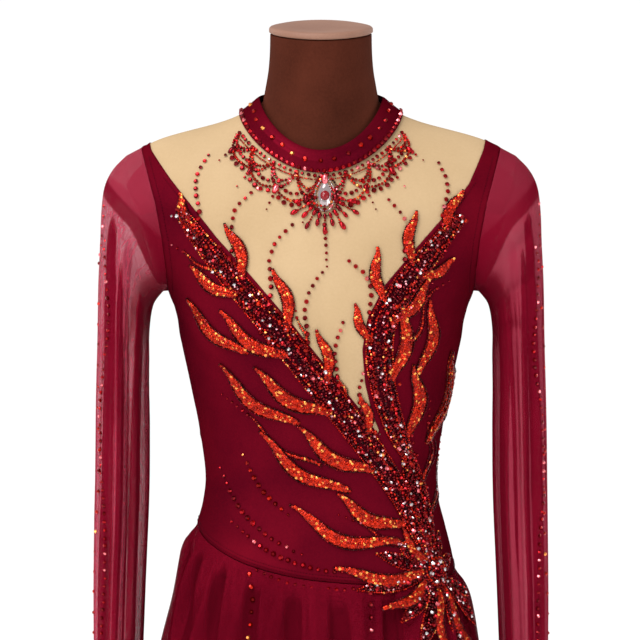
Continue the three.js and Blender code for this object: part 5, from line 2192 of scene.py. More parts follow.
def leaf_ground(leaf: Leaf, surface: Surface, lift: float, rise: float) -> tuple[Array, Array]:
    """The domed body of a leaf.

    Args:
        leaf: The leaf.
        surface: What it lies on.
        lift: How far its back stands off.
        rise: How thick it is along its middle.

    Returns:
        A grid of points, and cloth coordinates in metres.
    """
    asides = np.linspace(-1, 1, 11)
    lines = np.stack([leaf.line(aside, 0.0, 1.0, 44) for aside in asides], axis=1)
    dome = rise * (1 - np.abs(asides) ** 2.2) + 0.35
    crown = dome[None, :] * np.clip(leaf.half(np.linspace(0, 1, 44)) / 4, 0.15, 1)[:, None]
    points = surface(lines[..., 0], lines[..., 1], lift - 1.2 + crown)
    return points, lines * MM


def band_ground(vine: Vine, surface: Surface, rise: float) -> tuple[Array, Array]:
    """The low padded ground of a vine's band.

    Args:
        vine: The vine.
        surface: What it lies on.
        rise: How thick it is along its middle.

    Returns:
        A grid of points, and cloth coordinates in metres.
    """
    asides = np.linspace(-1, 1, 13)
    lines = np.stack([vine.beside(aside) for aside in asides], axis=1)
    crown = rise * (1 - np.abs(asides) ** 2.5) + 0.3
    points = surface(lines[..., 0], lines[..., 1], vine.lift - 1.3 + np.broadcast_to(crown, lines.shape[:2]))
    return points, lines * MM


def joined_grids(name: str, grids: Sequence[tuple[Array, Array]], wall: float) -> bpy.types.Object:
    """Makes one piece of several domed grids, each with its own closed wall.

    Args:
        name: The piece's name.
        grids: Points and cloth coordinates of each.
        wall: How thick each is.

    Returns:
        The piece.
    """
    points, flats, faces, offset = [], [], [], 0
    for grid, flat in grids:
        rows, columns = grid.shape[:2]
        quads = grid_faces(rows, columns, False)
        i, j = rows // 2, columns // 2
        a, b, c = grid[i, j], grid[i, j + 1], grid[i + 1, j]
        # Each grid faces away from the body's axis, so that its wall goes inwards.
        ahead = np.cross(b - a, c - a)
        outwards = (a - np.array([0, 0, a[2]])) @ ahead > 0
        faces.append((quads if outwards else quads[:, ::-1]) + offset)
        points.append(grid.reshape(-1, 3))
        flats.append(flat.reshape(-1, 2))
        offset += rows * columns
    piece = mesh_piece(name, np.concatenate(points), np.concatenate(faces), np.concatenate(flats))
    thicken(piece, wall)
    return piece


def stitch_leaf(basket: Workbasket, leaf: Leaf, surface: Surface, lift: float) -> None:
    """Fills a leaf with sequins, edges it and runs a vein of bright beads up it.

    Args:
        basket: The basket that takes the threads.
        leaf: The leaf.
        surface: What it is sewn on.
        lift: How far the beads stand off.
    """
    for aside, last in ((0.0, 0.97), (-0.3, 0.93), (0.3, 0.93), (-0.6, 0.86), (0.6, 0.86)):
        reach = leaf.half(np.array([0.45]))[0]
        if abs(aside) * reach > 0.5 or aside == 0.0:
            line = leaf.line(aside, 0.05, last)
            basket.add("spangles", SPANGLE, "flame", Thread.on(surface, line, lift + 1.0 - abs(aside) * 0.8))
    for aside in (-1.06, 1.06):
        edge = leaf.line(aside, 0.02, 0.995, 60)
        basket.add("outlines", TINY_BEAD, "outline", Thread.on(surface, edge, lift + 0.1))
    vein = leaf.line(0.0, 0.08, 0.8)
    fading = np.linspace(1.0, 0.6, len(vein))
    basket.add("veins", TINY_BEAD, "flame", Thread.on(surface, vein, lift + 1.7, fading))


def stitch_tendril(basket: Workbasket, leaf: Leaf, surface: Surface) -> None:
    """Sews a slender tendril: sequins between two rows of beads, with a tail of stones.

    Args:
        basket: The basket that takes the threads.
        leaf: The tendril.
        surface: What it is sewn on.
    """
    size = np.linspace(1.0, 0.55, 40)
    basket.add("tendril_hearts", SPANGLE, "flame", Thread.on(surface, leaf.line(0.0, 0.04, 0.96), 0.9, size))
    for aside in (-0.9, 0.9):
        edge = leaf.line(aside, 0, 0.99)
        basket.add("tendril_edges", TINY_BEAD, "outline", Thread.on(surface, edge, 0.8, size))
    tail = leaf.line(0.0, 1.0, 1.34)
    basket.add("tendril_tails", CHATON, "rose", Thread.on(surface, tail, 0.9, np.linspace(0.9, 0.5, 40)))


RIGHT_VINE = Vine(
    name="vine_right",
    line=((103, 977), (84, 1022), (57, 1068), (29, 1109), (-4, 1153), (-43, 1204), (-84, 1250),
          (-119, 1290), (-143, 1322)),
    sprigs=(
        Sprig(0.05, 1, 84, 14, 40), Sprig(0.21, 1, 98, 15, 26), Sprig(0.39, 1, 100, 15, 22),
        Sprig(0.57, 1, 88, 14, 20), Sprig(0.76, 1, 60, 12, 18), Sprig(0.02, 1, 128, 13, 52, -0.1, 16),
        Sprig(0.2, 1, 118, 13, 24, 0.0, 40), Sprig(0.42, 1, 106, 13, 16, 0.0, 42),
        Sprig(0.64, 1, 84, 12, 12, 0.0, 38), Sprig(0.3, -1, 46, 9, 20, 0.1), Sprig(0.46, -1, 60, 11, 22, 0.1),
        Sprig(0.62, -1, 68, 12, 22, 0.1), Sprig(0.78, -1, 62, 12, 20, 0.1),
        Sprig(0.93, 1, 48, 12, -14, 0.0, 0)),
    half=13.5,
    tendrils=(
        Sprig(0.3, 1, 96, 7, 20, 0.0, 50), Sprig(0.84, 1, 40, 6, 22), Sprig(0.39, -1, 36, 5, 18, 0.1),
        Sprig(0.55, -1, 42, 5, 20, 0.1)))
LEFT_VINE = Vine(
    name="vine_left",
    line=((89, 1068), (74, 1106), (63, 1148), (59, 1184), (63, 1213), (80, 1243), (109, 1279), (142, 1316)),
    sprigs=(
        Sprig(0.06, -1, 84, 14, 26), Sprig(0.3, -1, 86, 14, 20), Sprig(0.54, -1, 62, 12, 22),
        Sprig(0.74, -1, 42, 10, 24), Sprig(0.0, -1, 104, 13, 34, 0.1, 22),
        Sprig(0.3, -1, 82, 12, 20, 0.0, 36), Sprig(0.46, 1, 44, 9, 24, 0.1), Sprig(0.6, 1, 58, 11, 36, 0.1),
        Sprig(0.76, 1, 56, 11, 32, 0.1), Sprig(0.92, 1, 48, 11, 14, 0.1, 2)),
    half=13.0,
    tendrils=(Sprig(0.42, -1, 56, 6, 24, 0.0, 26), Sprig(0.62, -1, 40, 6, 30, 0.0, 12)))
ROOT_VINE = Vine(
    name="vine_root",
    line=((112, 962), (109, 985), (103, 1010), (96, 1040), (88, 1074)),
    sprigs=(),
    half=10.0,
    tendrils=(Sprig(0.3, -1, 64, 8, 22), Sprig(0.62, -1, 70, 8, 18), Sprig(0.12, 1, 70, 8, 60)))


@dataclass
class VineWork:
    """Both beaded vines with their leaves.

    Attributes:
        vines: Each vine with its CAD node.
    """

    vines: tuple[tuple[Vine, str], ...] = ((RIGHT_VINE, "applique_right"), (LEFT_VINE, "applique_left"))

    def build(self, wardrobe: "Wardrobe") -> None:
        """Builds and dresses the vines.

        Args:
            wardrobe: The finishes.
        """
        for vine, node in self.vines:
            leaves = vine.grown(vine.sprigs)
            grounds = [leaf_ground(leaf, front_cloth, 1.6, 1.5) for leaf in leaves]
            ground = joined_grids(f"{vine.name}_leaves", grounds, 1.0)
            finish_piece(ground, wardrobe.leaf.material(), "red_beads", node)
            padding = joined_grids(f"{vine.name}_band", [band_ground(vine, front_cloth, 1.6)], 1.0)
            finish_piece(padding, wardrobe.thread.material(), "red_beads")
            basket = Workbasket(vine.name)
            for leaf in leaves:
                stitch_leaf(basket, leaf, front_cloth, vine.lift)
            self._band(basket, vine)
            basket.sew(wardrobe)
        basket = Workbasket(ROOT_VINE.name)
        self._band(basket, ROOT_VINE, 0.2)
        basket.sew(wardrobe)

    def _band(self, basket: Workbasket, vine: Vine, drop: float = 0.0) -> None:
        """Covers a band with rows of beads and scattered stones, edges it and grows its tendrils.

        Args:
            basket: The basket that takes the threads.
            vine: The vine.
            drop: How much lower the beads lie than on other vines.
        """
        lift = vine.lift - 1.2 if drop else vine.lift
        for number, aside in enumerate(np.linspace(-0.84, 0.84, 9)):
            line = vine.beside(aside, 0.07, 40 + number)
            height = lift + 1.4 - 1.1 * abs(aside) ** 2.5 - drop
            finish = ("rose", "ember")[number // 2 % 2] if number in (2, 7) else "garnet"
            basket.add(f"gravel_{finish}", GRAVEL, finish, Thread.on(front_cloth, line, height))
        for aside in (-1.02, 1.02):
            basket.add("rims", SEED_BEAD, "ember", Thread.on(front_cloth, vine.beside(aside), lift + 0.2))
        for number, (finish, size, spacing) in enumerate((
                ("crystal", 3.4, 23.0), ("rose", 5.2, 15.0), ("crystal", 4.3, 37.0), ("flame", 4.6, 21.0),
                ("rose", 4.2, 11.0))):
            line = vine.beside(0.5 - 0.27 * number, 0.5, 70 + number)
            sparse = Sewing(Stone.CHATON, size, spacing, 5.0, 0.3, 80 + number)
            basket.add(f"stones_{number}", sparse, finish, Thread.on(front_cloth, line, lift + 2.0 - drop))
        for leaf in vine.grown(vine.tendrils):
            stitch_tendril(basket, leaf, front_cloth)


@dataclass
class HipSpray:
    """The rosette at the left hip and the fan of leaves that hangs from it.

    Attributes:
        radius: The rosette's radius.
        leaves: Each leaf as heading in degrees, length, width and bend.
        petals: Each beaded petal as heading in degrees, length and width.
    """

    radius: float = 20.0
    leaves: tuple[tuple[float, float, float, float], ...] = (
        (170, 92, 13, 0.12), (200, 56, 10, 0.1), (262, 74, 10, 0.1), (289, 84, 10, 0.08), (128, 44, 10, -0.1))
    petals: tuple[tuple[float, float, float], ...] = (
        (184, 74, 15), (216, 52, 14), (240, 64, 17), (275, 66, 15), (305, 64, 15), (325, 44, 13),
        (14, 26, 13), (56, 30, 13), (96, 38, 14), (140, 42, 13), (157, 58, 14))

    def build(self, wardrobe: "Wardrobe") -> None:
        """Builds and dresses the spray.

        Args:
            wardrobe: The finishes.
        """
        placed = []
        for angle, length, width, bend in self.leaves:
            root = self.radius / 2 * direction(angle * DEG)
            curl = -0.35 if angle > 260 else 0.35
            placed.append(Leaf(*root, angle * DEG, length + self.radius / 2, width, bend, curl))
        ground = joined_grids("hip_leaves", [leaf_ground(leaf, hip_cloth, 2.0, 1.5) for leaf in placed], 1.0)
        finish_piece(ground, wardrobe.leaf.material(), "red_beads", "applique_hip")
        basket = Workbasket("hip")
        for leaf in placed:
            stitch_leaf(basket, leaf, hip_cloth, 2.0)
        self._rosette(basket, wardrobe)
        for angle, length, width in self.petals:
            root = self.radius * 0.8 * direction(angle * DEG)
            self._petal(basket, Leaf(*root, angle * DEG, length, width, 0.1, 0.05))
        basket.sew(wardrobe)

    def _petal(self, basket: Workbasket, leaf: Leaf) -> None:
        """Sews a petal: rows of garnet beads inside an edge of bright ones.

        Args:
            basket: The basket that takes the threads.
            leaf: The petal's outline.
        """
        for aside in np.linspace(-0.75, 0.75, 5):
            line = leaf.line(aside, 0.0, 0.92 - 0.12 * abs(aside))
            basket.add("petal_gravel", GRAVEL, "garnet", Thread.on(hip_cloth, line, 1.9 - abs(aside)))
        for aside in (-1.05, 1.05):
            edge = leaf.line(aside, 0.02, 0.99)
            basket.add("petal_edges", SEED_BEAD, "ember", Thread.on(hip_cloth, edge, 1.0))
        for number, (finish, size, spacing) in enumerate((("rose", 5.4, 10.0), ("crystal", 3.8, 19.0))):
            heart = leaf.line(0.25 - 0.5 * number, 0.12, 0.75)
            sewing = Sewing(Stone.CHATON, size, spacing, 1.2, 0.25, 91 + number)
            basket.add(f"petal_{finish}", sewing, finish, Thread.on(hip_cloth, heart, 2.7))

    def _rosette(self, basket: Workbasket, wardrobe: "Wardrobe") -> None:
        """Builds the scalloped dome and sews its rings of beads.

        Args:
            basket: The basket that takes the threads.
            wardrobe: The finishes.
        """
        turn = np.linspace(0, TAU, 121)[:-1]
        scallop = 1 + 0.1 * np.cos(6 * turn)
        shells = np.linspace(0.06, 1, 9)
        round_edge = self.radius * scallop[:, None] * direction(turn)
        rings = shells[:, None, None] * round_edge
        crown = 4.6 * np.sqrt(np.clip(1.02 - shells**2, 0, 1))
        dome = hip_cloth(rings[..., 0], rings[..., 1], 1.0 + np.broadcast_to(crown[:, None], rings.shape[:2]))
        closed = np.concatenate([dome, dome[:, :1]], axis=1)
        flat = np.concatenate([rings, rings[:, :1]], axis=1) * MM
        padding = joined_grids("hip_rosette", [(closed, flat)], 1.0)
        finish_piece(padding, wardrobe.thread.material(), "red_beads")
        for number, share in enumerate(np.linspace(0.2, 1.0, 7)):
            ring = share * np.concatenate([round_edge, round_edge[:1]])
            height = 1.6 + 4.6 * math.sqrt(max(1.02 - share**2, 0))
            finish = ("rose", "garnet", "ember", "garnet", "flame", "garnet", "garnet")[number]
            basket.add(f"rosette_{finish}", GRAVEL, finish, Thread.on(hip_cloth, ring, height))
        for petal in range(6):
            spoke = np.array([[11.0], [15.5]]) * direction(petal * 60 * DEG)
            basket.add("petal_stones", BIG_CHATON, "crystal", Thread.on(hip_cloth, spoke, 6.0))


# ---------------------------------------------------------------- necklace and scattered stones
def over(surface: Callable[[Array, Array], Array], first: Array, second: Array, lift: float,
         size: Array | float, steps: tuple[float, float], sense: float = 1.0) -> Thread:
    """Lays a thread on a surface that takes two numbers and has no lift of its own.

    Args:
        surface: The surface.
        first: The first number at each point.
        second: The second.
        lift: How far the beads' middles stand off.
        size: The beads' share of full size.
        steps: How far to reach either way to find the surface's slope.
        sense: 1 or -1, which sets the side that faces out.

    Returns:
        The thread.
    """
    across = surface(first + steps[0], second) - surface(first - steps[0], second)
    along = surface(first, second + steps[1]) - surface(first, second - steps[1])
    facing = unit(np.cross(across, along)) * sense
    points = surface(first, second) + facing * lift
    return Thread(points, facing, np.broadcast_to(np.asarray(size, float), (len(points),)).copy())


@dataclass
class Necklace:
    """A scalloped bib of beads below the neck band, with a drop at its middle.

    Attributes:
        middle: The drop's place, across and up.
        swags: How many scallops the first tier has.
        reach: How far round the neck the bib runs, in degrees either way from the front.
        drop: Half its width and half its height.
        heart: The red stone's radius.
        foot_row: The figure's row just below the band.
        neck: The point that the bib spreads from, across and up.
    """

    middle: tuple[float, float] = (4.0, 1342.0)
    swags: int = 8
    reach: float = 66.0
    drop: tuple[float, float] = (7.5, 12.5)
    heart: float = 4.8
    foot_row: float = 18.62
    neck: tuple[float, float] = (0.0, 1446.0)

    def foot(self, share: Array) -> Array:
        """Points just below the band in the front view.

        Args:
            share: How far along, from the wearer's right to the left.

        Returns:
            The points, across and up.
        """
        turn = (-90 + self.reach * (2 * np.asarray(share, float) - 1)) * DEG
        point = FIGURE.base(turn, np.full(np.shape(turn), self.foot_row))
        return np.stack([point[..., 0], point[..., 2]], axis=-1)

    def pear(self, turn: Array) -> Array:
        """The drop's outline about its middle, narrower above."""
        narrow = 1 - 0.45 * np.maximum(0, np.sin(turn)) ** 1.5
        return direction(turn) * np.stack([self.drop[0] * narrow, np.full(turn.shape, self.drop[1])], axis=-1)

    def away(self, place: Array) -> Array:
        """The direction away from the neck in the front view."""
        return unit(place - np.array(self.neck))

    def swag(self, start: float, end: float, hang: float, low: float) -> Array:
        """A scallop that hangs from the foot line.

        Args:
            start: The share of the foot line where it begins.
            end: Where it ends.
            hang: How far its middle hangs.
            low: How far down all of it lies.

        Returns:
            The line, as across and up.
        """
        share = np.linspace(start, end, 30)
        t = np.linspace(0, 1, 30)
        line = self.foot(share)
        return line + self.away(line) * (low + hang * np.sin(math.pi * t) ** 0.8)[:, None]

    def build(self, wardrobe: "Wardrobe") -> None:
        """Builds and dresses the bib.

        Args:
            wardrobe: The finishes.
        """
        basket = Workbasket("bib")
        fine = Sewing(Stone.BEAD, 3.6, 3.5, 0.25, 0.8, 19)
        upper = Sewing(Stone.CHATON, 4.6, 5.4, 0.3, 0.2, 25)
        lower = Sewing(Stone.CHATON, 5.6, 7.4, 0.3, 0.15, 27)
        edges = np.linspace(0, 1, self.swags + 1)
        for number, (start, end) in enumerate(zip(edges[:-1], edges[1:])):
            centre = math.sin(math.pi * (start + end) / 2)
            finish = "ember" if number % 2 else "rose"
            for low, hang in ((1.0, 9 + 5 * centre), (1.5, 13.5 + 7 * centre)):
                swag = self.swag(start, end, hang, low)
                basket.add(f"swags_{finish}", fine, finish, Thread.on(front_cloth, swag, 1.0))
            self._tassel(basket, (start + end) / 2, 17 + 8 * centre, centre)
        halves = (edges[:-1] + edges[1:]) / 2
        for start, end in zip(halves[:-1], halves[1:]):
            centre = math.sin(math.pi * (start + end) / 2)
            for lot, sewing, finish, hang, low, lift in (
                    ("lower_swags", fine, "ember", 8, 15 + 8 * centre, 1.0),
                    ("upper_stones", upper, "rose", 7, 10 + 7 * centre, 1.2),
                    ("lower_stones", lower, "rose", 8, 18.5 + 9 * centre, 1.2)):
                swag = self.swag(start, end, hang * centre, low)
                basket.add(lot, sewing, finish, Thread.on(front_cloth, swag, lift))
        for low, lot, finish in ((1.4, "foot_stones", "rose"), (5.5, "foot_beads", "ember")):
            line = self.foot(np.linspace(0, 1, 90))
            thread = Thread.on(front_cloth, line + self.away(line) * low, 1.3)
            basket.add(lot, CHATON if finish == "rose" else TINY_BEAD, finish, thread)
        self._heart(basket)
        basket.sew(wardrobe)
        self._drop(wardrobe)

    def _tassel(self, basket: Workbasket, share: float, low: float, centre: float) -> None:
        """Sews a short hanging row: a drop, then smaller stones.

        Args:
            basket: The basket that takes the threads.
            share: Where it hangs on the foot line.
            low: How far down it begins.
            centre: How near it is to the middle, 0 to 1.
        """
        root = self.foot(share)
        way = self.away(root)
        line = np.stack([root + way * (low + d) for d in (0.0, 3.0)])
        drop = Sewing(Stone.DROP, 10.5, 9.0, 0, 0.1, 23)
        basket.add("drops", drop, "rose", Thread.on(front_cloth, line, 1.6))
        tail = np.stack([root + way * (low + d) for d in np.linspace(8, 15 + 9 * centre, 12)])
        basket.add("tails", CHATON, "rose", Thread.on(front_cloth, tail, 1.1, np.linspace(0.8, 0.5, 12)))

    def _heart(self, basket: Workbasket) -> None:
        """Sews the halo, the fan of drops and the hanging row round the middle.

        Args:
            basket: The basket that takes the threads.
        """
        x, z = self.middle
        turn = np.linspace(0, TAU, 80)
        for grow, sewing, finish in ((1.35, Sewing(Stone.CHATON, 2.6, 2.7, 0, 0.1, 29), "crystal"),
                                     (1.75, SEED_BEAD, "garnet")):
            halo = np.array([x, z]) + grow * self.pear(turn)
            basket.add(f"halo_{finish}", sewing, finish, Thread.on(front_cloth, halo, 1.4))
        near_drop = Sewing(Stone.DROP, 7.5, 9.0, 0, 0.08, 31)
        end_drop = Sewing(Stone.DROP, 9.0, 9.0, 0, 0.08, 33)
        for angle in range(195, 346, 15):
            way = direction(angle * DEG)
            far = angle % 30 == 0
            reach = 27.0 + 7 * far
            start = 16.0 + 6 * abs(way[1])
            for lot, sewing, finish, places, lift in (
                    ("fan", near_drop, "ember" if far else "rose", (start, start + 3), 1.6),
                    ("fan_chains", SEED_BEAD, "ember", np.linspace(24, reach, 10), 1.0),
                    ("fan_ends", end_drop, "rose", (reach + 2, reach + 5), 1.6)):
                line = np.array([x, z]) + way * np.array(places)[:, None]
                basket.add(lot, sewing, finish, Thread.on(front_cloth, line, lift))
        above = np.array([(x, z + self.drop[1] + 2.0), (x, z + self.drop[1] + 5.0)])
        bud = Sewing(Stone.DROP, 11.0, 9.0, 0, 0.0, 35)
        basket.add("bud", bud, "rose", Thread.on(front_cloth, above, 1.8))
        row = np.linspace((x, z - 30), (x + 2, z - 72), 14)
        thread = Thread.on(front_cloth, row, 1.2, np.linspace(1.15, 0.6, 14))
        basket.add("pendants", CHATON, "rose", thread)

    def _drop(self, wardrobe: "Wardrobe") -> None:
        """Builds the clear drop, cut in facets, and the red stone in it.

        Args:
            wardrobe: The finishes.
        """
        turn = np.arange(16) * TAU / 16
        stone = self._stone("bib_drop", self.pear(turn), 0.0,
                            ((1.0, 0.6), (1.0, 1.8), (0.72, 3.6), (0.5, 4.6)))
        stone.data.shade_flat()
        finish_piece(stone, wardrobe.crystal.material(), "crystal", "collar_pendant")
        cabochon = self._stone("bib_cabochon", self.heart * direction(turn), -2.5,
                               ((1.0, 4.2), (0.94, 5.6), (0.74, 6.8), (0.42, 7.5), (0.1, 7.8)))
        finish_piece(cabochon, wardrobe.cabochon.material(), "red_beads")

    def _stone(self, name: str, rim: Array, drop: float,
               rings: Sequence[tuple[float, float]]) -> bpy.types.Object:
        """Builds a stone of rings shaped like its rim, about the bib's middle.

        Args:
            name: The piece's name.
            rim: Its outline, as across and up.
            drop: How far above the middle it lies.
            rings: Each ring's share of the rim and how far it stands off.

        Returns:
            The stone.
        """
        x, z = self.middle
        layers = [front_cloth(x + rim[:, 0] * share, z + drop + rim[:, 1] * share, np.full(len(rim), out))
                  for share, out in rings]
        stone = stacked(name, np.stack(layers))
        outward(stone)
        return stone


@dataclass
class BandStones:
    """Stones on the neck band: a close row along its foot and a sparse one above.

    Attributes:
        lift: How far the band's face stands off the figure.
    """

    lift: float = 2.5

    def build(self, wardrobe: "Wardrobe") -> None:
        """Sews both rows.

        Args:
            wardrobe: The finishes.
        """
        basket = Workbasket("band")
        rows = (("foot", 19.02, (-182, 2), Sewing(Stone.CHATON, 5.0, 6.6, 0.2, 0.12, 37), "rose"),
                ("upper", 19.5, (-176, -4), Sewing(Stone.CHATON, 5.2, 15.0, 1.2, 0.12, 41), "ember"))
        for lot, place, (first, last), sewing, finish in rows:
            turn = np.linspace(first, last, 160) * DEG
            place = np.full(turn.shape, place)
            thread = over(lambda t, p: FIGURE.point(t, p, self.lift), turn, place, 0.5, 1.0, (0.01, 0.03))
            basket.add(lot, sewing, finish, thread)
        basket.sew(wardrobe)


@dataclass
class ScatteredRows:
    """Rows of single stones: rising over the nude net, sweeping over the bodice, and down skirt and sleeves.

    Attributes:
        rising: Rows on the net as a vine's share, its side, heading in degrees, length and bend.
        sweeps: Rows on the bodice, each through a few points given as across and up.
        skirt: Rows down the skirt as a turn in degrees and how far down they run.
        sleeves: A sleeve's rows as where they start and end down it, where round it and how far they sway.
    """

    rising: tuple[tuple[Vine, float, int, float, float, float], ...] = (
        (RIGHT_VINE, 0.96, -1, 78, 66, 24), (RIGHT_VINE, 0.84, -1, 64, 82, 30),
        (RIGHT_VINE, 0.7, -1, 70, 88, 26), (RIGHT_VINE, 0.56, -1, 76, 84, 22),
        (RIGHT_VINE, 0.43, -1, 84, 74, 16), (RIGHT_VINE, 0.33, -1, 88, 56, 14),
        (LEFT_VINE, 0.94, 1, 96, 62, -22), (LEFT_VINE, 0.74, 1, 108, 74, -28),
        (LEFT_VINE, 0.5, 1, 112, 78, -30), (LEFT_VINE, 0.28, 1, 104, 60, -20))
    sweeps: tuple[tuple[tuple[float, float], ...], ...] = (
        ((-104, 1052), (-86, 1016), (-56, 988), (-20, 970)), ((-80, 1070), (-62, 1036), (-34, 1010)),
        ((-92, 998), (-54, 972), (-12, 957), (30, 951)), ((-66, 952), (-24, 938), (26, 934), (58, 938)))
    skirt: tuple[tuple[float, float], ...] = ((-121, 150), (-72, 260), (-24, 190))
    sleeves: tuple[tuple[float, float, float, float], ...] = (
        (3.4, 9.8, 34, 9), (5.2, 9.6, 50, 7), (2.4, 4.4, 58, 6))

    def build(self, wardrobe: "Wardrobe") -> None:
        """Sews every row.

        Args:
            wardrobe: The finishes.
        """
        basket = Workbasket("scatter")
        fading = Sewing(Stone.CHATON, 5.6, 8.2, 0.5, 0.2, 43)
        for vine, at, side, heading, length, bend in self.rising:
            middle, along = vine.curve(400)
            i = round(at * (len(middle) - 1))
            root = middle[i] + left_of(along[i]) * side * (vine.half * 0.7)
            share = np.linspace(0, 1, 50)
            angle = (heading + bend * np.sin(share * 1.6 * math.pi)) * DEG
            line = root + np.cumsum(direction(angle) * length / (len(share) - 1), axis=0)
            line = line[plunge_field(front_cloth(line[:, 0], line[:, 1], np.zeros(len(line)))) > -14]
            if len(line) < 4:
                continue
            thread = Thread.on(front_cloth, line, 1.0, np.linspace(1.1, 0.7, len(line)))
            basket.add("rising", fading, "rose", thread)
        self._sweeps(basket, fading)
        self._skirt(basket)
        self._sleeves(basket)
        basket.sew(wardrobe)

    def _sweeps(self, basket: Workbasket, sewing: Sewing) -> None:
        """Sews the rows that fan out from the hip over the bodice.

        Args:
            basket: The basket that takes the threads.
            sewing: How the stones are sewn.
        """
        for number, knots in enumerate(self.sweeps):
            size = 0.55 + 0.5 * np.sin(np.linspace(0, math.pi, 60))
            thread = Thread.on(front_cloth, smooth_line(knots, 60), 1.0, size)
            finish = ("rose", "ember", "rose")[number % 3]
            basket.add(f"sweeps_{finish}", sewing, finish, thread)

    def _skirt(self, basket: Workbasket) -> None:
        """Sews the rows that fall down the front of the skirt.

        Args:
            basket: The basket that takes the threads.
        """
        skirts = Skirts()
        for number, (turn, length) in enumerate(self.skirt):
            below = np.linspace(8, length, 60)
            angle = (turn - skirts.start) % 360 + 1.6 * np.sin(below / 38 + number)
            thread = over(skirts.surface, angle, below, 0.8, np.linspace(1.1, 0.6, 60), (0.15, 0.8), -1.0)
            sewing = Sewing(Stone.CHATON, 5.2, 13.0, 0.4, 0.15, 47 + number)
            basket.add(f"skirt_{number}", sewing, "rose" if number % 2 else "ember", thread)

    def _sleeves(self, basket: Workbasket) -> None:
        """Sews the rows that run down the outer front of both sleeves.

        Args:
            basket: The basket that takes the threads.
        """
        sleeves = Sleeves()
        for creases, pleats, mirrored in ((sleeves.left_creases, sleeves.left_pleats, False),
                                          (sleeves.right_creases, sleeves.right_pleats, True)):
            for number, (first, last, middle, sway) in enumerate(self.sleeves):
                v = np.linspace(first, last, 160)
                angle = (middle + sway * np.sin(v * 1.9 + number * 2 + mirrored)) * DEG
                thread = over(lambda a, b: sleeves.surface(a, b, creases, pleats)[0], angle, v, 0.9, 1.0,
                              (0.01, 0.02), -1.0)
                sewing = Sewing(Stone.CHATON, 4.2, (8.5, 21.0, 10.0)[number], 0.5, 0.15, 61 + number)
                finish = ("rose", "ember", "rose")[number]
                basket.add(f"sleeve_{number}", sewing, finish, thread.mirrored() if mirrored else thread)


def above_seam(turn: Array, lift: Array) -> Array:
    """A point of the bodice at a turn and a height above the waist seam."""
    return FIGURE.point(turn, FIGURE.place_at_level(turn, seam_level(turn) + lift), 0.4)


@dataclass
class Stitching:
    """Lines of stitches along the seams and turned edges.

    Attributes:
        inset: From the edge to its stitches.
        stitch: How the stitches are sewn.
    """

    inset: float = STITCH_INSET
    stitch: Sewing = Sewing(Stone.STITCH, 2.3, 3.1, 0.05, 0.06, 71)

    def build(self, wardrobe: "Wardrobe") -> None:
        """Sews the lines.

        Args:
            wardrobe: The finishes.
        """
        basket = Workbasket("stitches")
        for table, way in ((NECKLINE_RIGHT, -1), (NECKLINE_LEFT, 1)):
            line = smooth_line(table[:-2], 160) + np.array([way * self.inset, 0])
            basket.add("neckline", self.stitch, "thread", Thread.on(front_cloth, line, 0.35))
        level = np.linspace(1236, 1374, 90)
        line = np.stack([interp(level, ARMHOLE, 1) - self.inset, level], axis=-1)
        for side in (-1, 1):
            thread = Thread.on(lambda x, z, out: FIGURE.face(x, z, out, side), line, 0.3)
            basket.add("armholes", self.stitch, "thread", thread, thread.mirrored())
        turn = np.linspace(-180, 180, 721) * DEG
        for lift in (2.4, 6.0):
            thread = over(above_seam, turn, np.full(turn.shape, lift), 0.1, 1.0, (0.01, 0.5))
            basket.add("waist", self.stitch, "thread", thread)
        basket.sew(wardrobe)


BEADWORK = (VineWork(), HipSpray(), Necklace(), BandStones(), ScatteredRows(), Stitching())


# ---------------------------------------------------------------- studio
@dataclass(frozen=True)
class Lamp:
    """A soft lamp.

    Attributes:
        name: Its name.
        place: Where it stands, in metres.
        size: How wide and tall it is.
        power: Its watts.
        aim: The point that it faces.
    """

    name: str
    place: tuple[float, float, float]
    size: tuple[float, float]
    power: float
    aim: tuple[float, float, float] = (0.0, 0.0, 1.15)

    def build(self) -> None:
        """Hangs the lamp."""
        light = bpy.data.lights.new(self.name, "AREA")
        light.shape = "RECTANGLE"
        light.size, light.size_y = self.size
        light.energy = self.power
        lamp = link(bpy.data.objects.new(self.name, light))
        lamp.location = self.place
        lamp.rotation_euler = (Vector(self.aim) - Vector(self.place)).to_track_quat("-Z", "Y").to_euler()


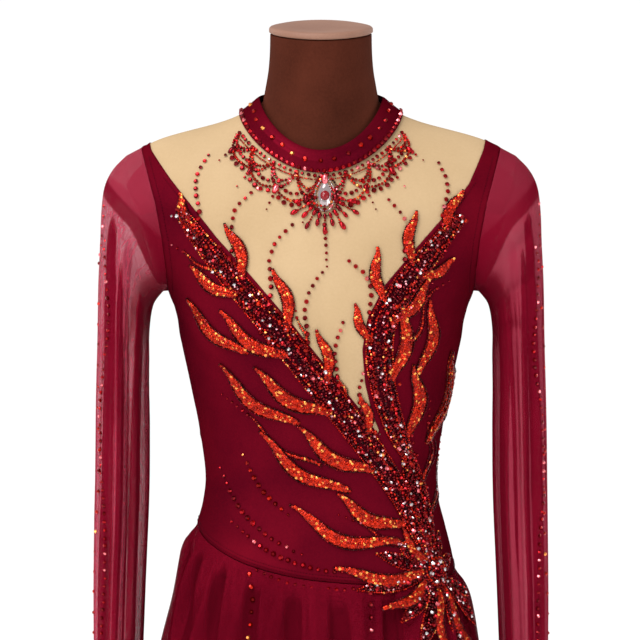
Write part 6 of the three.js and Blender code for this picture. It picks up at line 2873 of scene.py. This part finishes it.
@dataclass
class Studio:
    """A plain pale floor, soft light and the camera.

    Attributes:
        target: The point that the camera faces, in metres.
        elevation: How far it looks down, in degrees.
        distance: From it to the point.
        lens: The camera's focal length.
        world: The sky's strength.
        sun: The daylight's strength, height and swing in degrees, and how wide it looks.
        lamps: The soft lamps.
    """

    target: tuple[float, float, float] = (-0.001, 0.0, 1.2)
    elevation: float = 8.0
    distance: float = 3.5
    lens: float = 187.5
    world: float = 0.55
    sun: tuple[float, float, float, float] = (2.1, 54.0, -42.0, 40.0)
    lamps: tuple[Lamp, ...] = (
        Lamp("key", (-1.7, -2.6, 2.4), (1.1, 1.4), 26),
        Lamp("fill", (2.3, -2.4, 1.5), (1.4, 1.6), 13),
        Lamp("rim_left", (-2.2, 1.6, 2.2), (0.9, 1.6), 12),
        Lamp("rim_right", (2.2, 1.6, 2.2), (0.9, 1.6), 12),
    )

    def build(self) -> None:
        """Builds the floor, the lamps, the sky and the camera."""
        half = 60000.0
        corners = [(-half, -half, 0), (half, -half, 0), (half, half, 0), (-half, half, 0)]
        floor = mesh_piece("floor", corners, [[0, 1, 2, 3]], smooth=False)
        material, _, shader = new_material("pale_floor", {"Roughness": 0.9, "Specular IOR Level": 0.1})
        shader.inputs["Base Color"].default_value = (0.95, 0.95, 0.95, 1)
        floor.data.materials.append(material)
        for lamp in self.lamps:
            lamp.build()
        strength, height, swing, width = self.sun
        light = bpy.data.lights.new("daylight", "SUN")
        light.energy, light.angle = strength, width * DEG
        daylight = link(bpy.data.objects.new("daylight", light))
        daylight.rotation_euler = ((90 - height) * DEG, 0, swing * DEG)
        sky = bpy.data.worlds.new("soft_white")
        bpy.context.scene.world = sky
        sky.use_nodes = True
        sky.node_tree.nodes["Background"].inputs[0].default_value = (1, 1, 1, 1)
        sky.node_tree.nodes["Background"].inputs[1].default_value = self.world
        data = bpy.data.cameras.new("view")
        data.lens, data.sensor_width, data.clip_end = self.lens, 36, 300
        camera = link(bpy.data.objects.new("view", data))
        tilt = self.elevation * DEG
        back = Vector((0, -math.cos(tilt), math.sin(tilt))) * self.distance
        camera.location = Vector(self.target) + back
        camera.rotation_euler = (-back).to_track_quat("-Z", "Y").to_euler()
        bpy.context.scene.camera = camera
        bpy.context.scene.view_settings.view_transform = "Standard"


def main() -> None:
    """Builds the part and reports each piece."""
    logging.basicConfig(level=logging.INFO, format="%(message)s")
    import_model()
    wardrobe = Wardrobe()
    Studio().build()
    for assembly in (DressForm(), Bodice(), Sleeves(), Skirts(), *BEADWORK):
        LOG.info("building %s", type(assembly).__name__)
        assembly.build(wardrobe)


if __name__ == "__main__":
    main()
